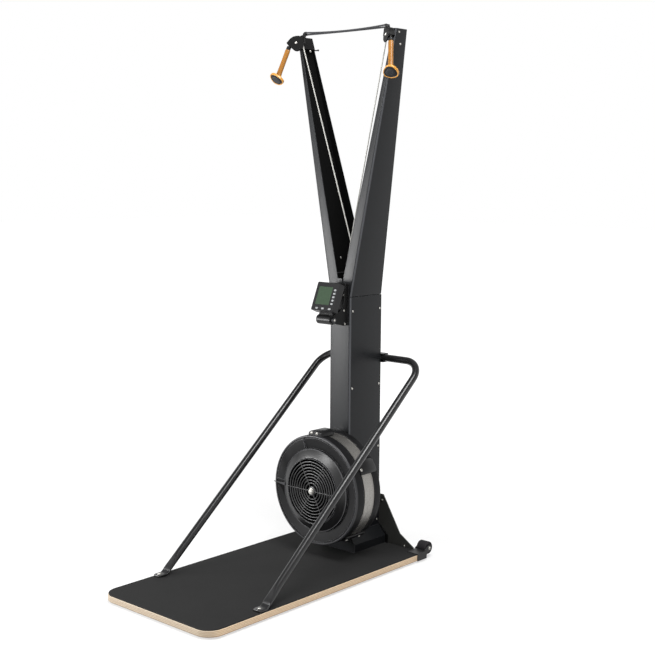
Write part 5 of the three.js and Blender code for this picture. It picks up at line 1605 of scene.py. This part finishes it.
for end in ("front", "rear"):
    low, high = box_mm(f"bearing_{end}")
    y0, y1 = low.y, high.y
    race = [(8.3, y0), (10.4, y0), (10.6, y0 + 0.8), (13.2, y0 + 0.8), (13.4, y0), (15.6, y0), (16, y0 + 0.5),
            (16, y1 - 0.5), (15.6, y1), (13.4, y1), (13.2, y1 - 0.8), (10.6, y1 - 0.8), (10.4, y1), (8.3, y1)]
    turned_piece(f"ball_bearing_{end}", race, fan_axis, bolt_steel, 64, stands_for=[f"bearing_{end}"],
                 slot="bolt_steel")
print("axle from", round(nut_back - 9, 1), "to", round(axle_end, 1))

# %% [markdown]
# ### Rotor
#
# Behind the grille a disc carries blades that throw the air outwards through the mesh. It can hardly be
# seen, so the blades are plain curved plates, all in one mesh. Each thins towards its tip, and its angle
# swings out and back along the radius, which bends it.

# %% Rotor: a disc and curved blades
rotor_radius, rotor_hub, blade_inner, blade_count = 205, 22, 70, 18
rotor_back, disc_front, rotor_front = -14, -18, -118
blade_bend, blade_root, blade_tip, blade_steps = math.radians(7), 1.6, 0.9, 6
disc = rounded([(8.5, rotor_front), (rotor_hub - 3, rotor_front), (rotor_hub, rotor_front + 4),
                (rotor_hub, disc_front), (rotor_radius, disc_front), (rotor_radius, rotor_back),
                (8.5, rotor_back)], [1, 3, 1, 4, 1, 1, 1])
# The rotor's disc and blades take the near-black finish: painted shade inside the fan.
turned_piece("rotor_disc", disc, fan_axis, shade_black_paint, 96, body="fan", stands_for=["fan_rotor"],
             slot="fan_plastic")
points, faces = [], []
for k in range(blade_count):
    first = len(points)
    for step in range(blade_steps + 1):
        share = step / blade_steps
        radius = mix(blade_inner, rotor_radius - 3, share)
        angle = 2 * math.pi * k / blade_count + blade_bend * math.sin(math.pi * share)
        thin = mix(blade_root, blade_tip, share)
        for y in (rotor_back - 4, rotor_front):
            for way in (-1, 1):
                points.append(fan_point(radius, angle + way * thin / radius, y))
    for step in range(blade_steps):
        a = first + 4 * step
        faces += [(a, a + 4, a + 6, a + 2), (a + 1, a + 3, a + 7, a + 5), (a + 2, a + 6, a + 7, a + 3),
                  (a, a + 1, a + 5, a + 4)]
    last = first + 4 * blade_steps
    faces += [(first, first + 2, first + 3, first + 1), (last, last + 1, last + 3, last + 2)]
new_piece("rotor_blades", points, faces, shade_black_paint, body="fan", slot="fan_plastic")
print("rotor: blades", blade_count, "radius", rotor_radius)

# %% [markdown]
# ### Clamps
#
# Three straps hold the shells together. Each is a bar bent round the drum that thins out and narrows at its
# two ends, like a pad. Bending a flat block with a modifier would need a rig for each, so the rings are
# laid along the arc, and each ring works out its own height and width.

# %% Clamps over the shells: angle, width, front, rear and height of each
clamp_table = {"top": (90.7, 82, -148, -66, 20), "side": (31, 62, -106, -8, 7),
               "bottom": (-54, 36, -118, -2, 7)}
for name, (angle, width, y0, y1, tall) in clamp_table.items():
    half_turn = math.asin(width / 2 / (fan_radius + tall))
    rings = []
    for share in (-1, -0.97, -0.9, -0.75, -0.5, -0.25, 0, 0.25, 0.5, 0.75, 0.9, 0.97, 1):
        thick = tall * (1 - abs(share) ** 5 * 0.75)
        pull = 5 * abs(share) ** 6
        turn = math.radians(angle) + half_turn * share
        low, high = fan_radius + 0.4, fan_radius + thick
        section = ((low, y1 - pull), (low, y0 + pull), (high - 2, y0 + pull), (high, y0 + pull + 3),
                   (high, y1 - pull - 3), (high - 2, y1 - pull))
        rings.append([fan_point(r, turn, y) for r, y in section])
    skin(f"fan_strap_{name}", rings, small_plastic, stands_for=[f"fan_clamp_{name}"], slot="fan_plastic",
         sharp=50)
print("clamps:", list(clamp_table))

# %% Screws in the clamps: two in the top one's front face, the others on the straps
top_face, top_rise, strap_rise = -148.2, 9.5, 6.8
strap_screws = (("side", 28.4, -99, 6.5), ("bottom", -54, -108, 6), ("bottom_rear", -54, -30, 5))
for name, x in (("top_a", -18.6), ("top_b", 10.2)):
    place = Vector((x, top_face, fan_height + fan_radius + top_rise))
    bolt_head(f"fan_bolt_{name}", place, FORWARDS, 6.5, 4)
for name, angle, y, size in strap_screws:
    turn = math.radians(angle)
    outwards = fan_point(1, turn, 0) - fan_point(0, 0, 0)
    bolt_head(f"fan_bolt_{name}", fan_point(fan_radius + strap_rise, turn, y), outwards, size, 3.5)
print("clamp screws:", 2 + len(strap_screws))

# %% [markdown]
# ## Support tube
#
# One round tube is bent twice and passes behind the column. At its two feet it is pressed flat, which
# leaves a spoon shape that is bolted to the board. A curve with a bevel can't change from round to flat, so
# the tube is a skin over rings, each somewhere between a circle and a flat bar. The left half mirrors the
# right one.

# %% The tube's sizes and section
tube_radius, tube_bend = 15.2, 90
tube_top = Vector((269, column_depth + tube_radius + 0.3, 834))
tab_thick, tab_wide, tab_lead, foot_length = 9, 40, 40, 105
flatness, pressed_by, tilted_from = 0.62, 0.8, 0.65
tube_foot = Vector((277, -722, floor_level + tab_thick / 2))
leg_way = (tube_foot - tube_top).normalized()
leg_start = tube_foot - leg_way * foot_length
leg_up = ACROSS.cross(leg_way).normalized()


def section_ring(centre, wide_way, up_way, wide, thick, square):
    """A ring between a circle and a flat rounded bar. It is squarer as square goes from 0 to 1."""
    ring = []
    power = 1 - flatness * square
    for turn in turns_round(40):
        c, s = math.cos(turn), math.sin(turn)
        ring.append(centre + wide_way * math.copysign(abs(c) ** power, c) * wide
                    + up_way * math.copysign(abs(s) ** power, s) * thick)
    return ring


def ease(t):
    """From 0 to 1 with a soft start and end."""
    t = min(1, max(0, t))
    return t * t * (3 - 2 * t)


print("leg of the tube:", round((tube_foot - tube_top).length), "mm")

# %% The pressed foot, from its tip up the leg
foot_half, foot_steps = tab_thick / 2 - 0.1, 14
tip_table = ((tab_lead, 0.6), (tab_lead - 1.2, 0.72), (tab_lead - 5, 0.86), (tab_lead - 11, 0.96), (20, 1.0),
             (6, 1.0))
foot_rings = []
for reach, narrow in tip_table:
    edge = 0.75 if reach == tab_lead else 1.0
    foot_rings.append(section_ring(tube_foot + FORWARDS * reach, ACROSS, UP, tab_wide / 2 * narrow,
                                   foot_half * edge, 1.0))
for k in range(foot_steps, -1, -1):
    t = k / foot_steps
    press, tilt = ease(t / pressed_by), ease((t - tilted_from) / (1 - tilted_from))
    centre = leg_start + leg_way * foot_length * t
    centre.z = max(centre.z, floor_level + tab_thick / 2)
    up_way = leg_up.lerp(UP, tilt).normalized()
    foot_rings.append(section_ring(centre, ACROSS, up_way, mix(tube_radius, tab_wide / 2, press),
                                   mix(tube_radius, foot_half, press), press))
print("foot rings:", len(foot_rings))

# %% The bend, the whole tube, its clamp and its bolts
bend_steps = 16
bend_centre = tube_top - ACROSS * tube_bend + leg_way * tube_bend
right_rings = foot_rings[:]
for k in range(bend_steps + 1):
    turn = math.pi / 2 * k / bend_steps
    point = bend_centre + ACROSS * tube_bend * math.cos(turn) - leg_way * tube_bend * math.sin(turn)
    wide_way = ACROSS * math.cos(turn) - leg_way * math.sin(turn)
    right_rings.append(section_ring(point, wide_way, leg_up, tube_radius, tube_radius, 0))
left_rings = [[Vector((-p.x, p.y, p.z)) for p in ring] for ring in reversed(right_rings)]
skin("bent_support_tube", right_rings + left_rings, tube_paint, stands_for=["support_tube"], slot="paint",
     sharp=50)
dress("tube_clamp", painted_steel, 1.2)
for word, side in SIDES:
    place = Vector((side * tube_foot.x, tube_foot.y - 22, tube_foot.z + tab_thick / 2 - 0.2))
    bolt_head(f"tube_foot_bolt_{word}", place, UP, 7, 4.5)
print("tube: rings", len(right_rings) * 2)

# %% [markdown]
# ## Rear foot and wheels
#
# A shoe and a gusset plate hold the column upright. Two wheels in pressed brackets at the rear corners let
# the machine be tipped back and rolled away. The plates' solids are right already and are only dressed. A
# wheel is turned from a section with a tread, a soft shoulder and a sunk face, written for one half and
# mirrored for the other.

# %% Gusset, shoe and wheels
wheel_gap, bracket_sheet = 0.5, 3
# The gusset gets the lighter copy of the paint: painted light.
dress("gusset_plate", gusset_lightened_paint, 0.9)
dress("column_shoe", painted_steel, 1.4)
for word, side in SIDES:
    dress(f"wheel_bracket_{word}", shoe_paint, 0.7)
    wheel_low, wheel_high = box_mm(f"wheel_{word}")
    centre = (wheel_low + wheel_high) / 2
    a, b = (wheel_high.x - wheel_low.x) / 2, (wheel_high.z - wheel_low.z) / 2
    half = [(6.6, a - 1), (9, a - 0.4), (10, a - 2.4), (b - 7, a - 2.4), (b - 6, a - 0.3), (b - 4, a),
            (b - 1.6, a - 1), (b - 0.4, a - 2.6), (b, a - 5), (b, 3), (b - 1, 2)]
    profile = [(radius, -along) for radius, along in half] + half[::-1]
    turned_piece(f"transport_wheel_{word}", profile, frame_at(centre, ACROSS, UP), tyre_rubber, 64,
                 body=f"wheel_{word}", stands_for=[f"wheel_{word}"], slot="rubber")
    pin_x = side * (centre.x * side + a + wheel_gap + bracket_sheet)
    bolt_head(f"wheel_bolt_{word}", Vector((pin_x, centre.y, centre.z)), Vector((side, 0, 0)), 7, 4)
print("wheels at", [round(v) for v in centre])

# %% [markdown]
# ## Monitor
#
# The monitor is a small moulded case that tilts on a pivot in its bracket. Modelling it again would add
# nothing: its solid already has the round barrel that it tilts on and the pockets for the lens and the
# eight keys. So it is dressed with wider roundings than sheet metal gets, and the lens, the keys and the
# bracket get finishes of their own.

# %% Monitor case, lens and keys
lens_glass = new_finish("liquid_crystal_lens", linear(52, 68, 52), 0.3, 2.0, 0.01, 0.1, 0.03, 0.02,
                        specular=0.2)
dress("monitor_case", small_plastic, 1.4, 4)
dress("monitor_lens", lens_glass, 0.4)
for kind, total in (("side", 5), ("low", 3)):
    for k in range(1, total + 1):
        dress(f"button_{kind}_{k}", button_rubber, 0.9)
dress("monitor_bracket", plate_paint, 0.6)
case_low, case_high = box_mm("monitor_case")
print("monitor case:", [round(v) for v in case_high - case_low])

# %% [markdown]
# ### Pivot
#
# A screw through the bracket's two cheeks holds the monitor, with a knob on the right to clamp it. Knob,
# pin and the screw's head on the left are turned round the same axis. The knob's section is given by how
# far each point lies inside its outer face.

# %% Pivot knob, pin and screw heads
pivot = Vector((0, -88, seam_height - 88))
knob_low, knob_high = box_mm("monitor_pivot_knob")
knob_table = [(0, 8.9), (8, 8.9), (10.2, 8.4), (11, 7.4), (11, 2.6), (10.2, 1.0), (8.6, 0.3), (6.4, 0),
              (5.2, 0.8), (0, 1.2)]
knob_profile = [(radius, knob_high.x - depth) for radius, depth in knob_table]
pivot_axis = frame_at(pivot, ACROSS, UP)
bolt_head("pivot_knob_screw", pivot + Vector((knob_high.x - 1.2, 0, 0)), ACROSS, 5.2, 3)
turned_piece("pivot_knob", knob_profile, pivot_axis, dark_steel, 48, closed=False,
             stands_for=["monitor_pivot_knob"], slot="bolt_steel")
back = rounded([(0, knob_low.x), (8.8, knob_low.x), (8.8, knob_low.x + 4.5), (0, knob_low.x + 4.5)],
               [0, 1.4, 0.4, 0])
turned_piece("pivot_bolt_head", back, pivot_axis, bolt_steel, 48, closed=False, slot="bolt_steel")
pin_left, pin_right, pin_reach = knob_low.x + 4, knob_high.x - 8, 3.9
pin_profile = [(0, pin_left), (pin_reach, pin_left), (pin_reach, pin_right), (0, pin_right)]
turned_piece("pivot_pin", pin_profile, pivot_axis, bolt_steel, 24, closed=False, slot="bolt_steel")
print("pivot at", [round(v) for v in pivot])

# %% [markdown]
# ## Screws
#
# The column's sides, the monitor's bracket, the gusset and the heads are held by plated socket screws. Each
# is a small dome with a hexagon socket, stood on the face that it holds. Instances of one mesh would be
# lighter, but every piece here has to be a mesh of its own, so the helper makes each where it sits.

# %% Screws in the column, the bracket and the gusset
column_size, bracket_size, gusset_size, sunk = (4.6, 2.2), (4.2, 2.4), (5, 3), 0.2
side_screws = [(17.8, 1047), (191.2, 1047), (17.3, 725), (191, 725), (190.7, 456), (188.8, 134)]
cheek_outside, cheek_screws, plate_screw = 39.4, [(-20, 1052), (-14, 996)], (24, -3.1, 1113.4)
gusset_screws = [(73, 0.5, 219), (69, -2.8, 41), (197, 0.5, 41)]
doubler_corners, doubler_thick, doubler_front = [(57, 35), (57, 120), (111, 71), (109, 35)], 3.2, 1.3
for word, side in SIDES:
    outwards = Vector((side, 0, 0))
    for k, (y, z) in enumerate(side_screws, 1):
        bolt_head(f"column_screw_{word}_{k}", Vector((side * (half_column - sunk), y, z)), outwards,
                  *column_size)
    for k, (y, z) in enumerate(cheek_screws, 1):
        bolt_head(f"bracket_screw_{word}_{k}", Vector((side * cheek_outside, y, z)), outwards, *bracket_size)
    bolt_head(f"bracket_plate_screw_{word}", flip(Vector(plate_screw), side), FORWARDS, *bracket_size)
    for k, (x, rise, z) in enumerate(gusset_screws, 1):
        bolt_head(f"gusset_screw_{word}_{k}", Vector((side * x, column_depth + rise, z)), FORWARDS,
                  *gusset_size)
    doubler = rounded([(side * x, z) for x, z in doubler_corners], 2)
    plate_piece(f"gusset_doubler_{word}", doubler, doubler_thick, plate_paint, ACROSS, UP, FORWARDS,
                Vector((0, column_depth - doubler_front, 0)), 0.6, slot="paint")
print("screws in each side of the column:", len(side_screws))

# %% [markdown]
# ### Screws of the arms
#
# The arms lean outwards, so a screw that stands square to an arm's side points a little down on the outside
# and a little up on the inside. A small plate closes the gap where the two arms part.

# %% Screws in the arms, and the crotch plate
arm_screws, mount_screw, inner_screw = [(40, 2155), (59, 2111)], (62, 2113), (95, 1257)
arm_size, mount_size, inner_size, arm_lean = (4.6, 2.4), (5, 2.6), (5, 2.4), 0.19
for word, side in SIDES:
    for k, (y, z) in enumerate(arm_screws, 1):
        place = Vector((side * (arm_sides(z)[0] - 0.1), y, z))
        bolt_head(f"arm_screw_{word}_{k}", place, Vector((side, 0, -arm_lean)), *arm_size)
    y, z = mount_screw
    place = Vector((side * (arm_sides(z)[1] - mount_gap - sheet + 0.1), y, z))
    bolt_head(f"mount_screw_{word}", place, Vector((-side, 0, 0.2)), *mount_size)
y, z = inner_screw
bolt_head("arm_inner_screw", Vector((-arm_sides(z)[0] + sheet - 0.1, y, z)), Vector((1, 0, arm_lean)),
          *inner_size)
filler_half, filler_low, filler_high, filler_thick = 13, 1162, 1181, 2.4
filler = rounded([(-filler_half, filler_low), (filler_half, filler_low), (filler_half, filler_high),
                  (-filler_half, filler_high)], [2, 2, 7, 7], 5)
plate_piece("crotch_plate", filler, filler_thick, painted_steel, ACROSS, UP, FORWARDS, Vector((0, -0.4, 0)),
            0.7, slot="paint")
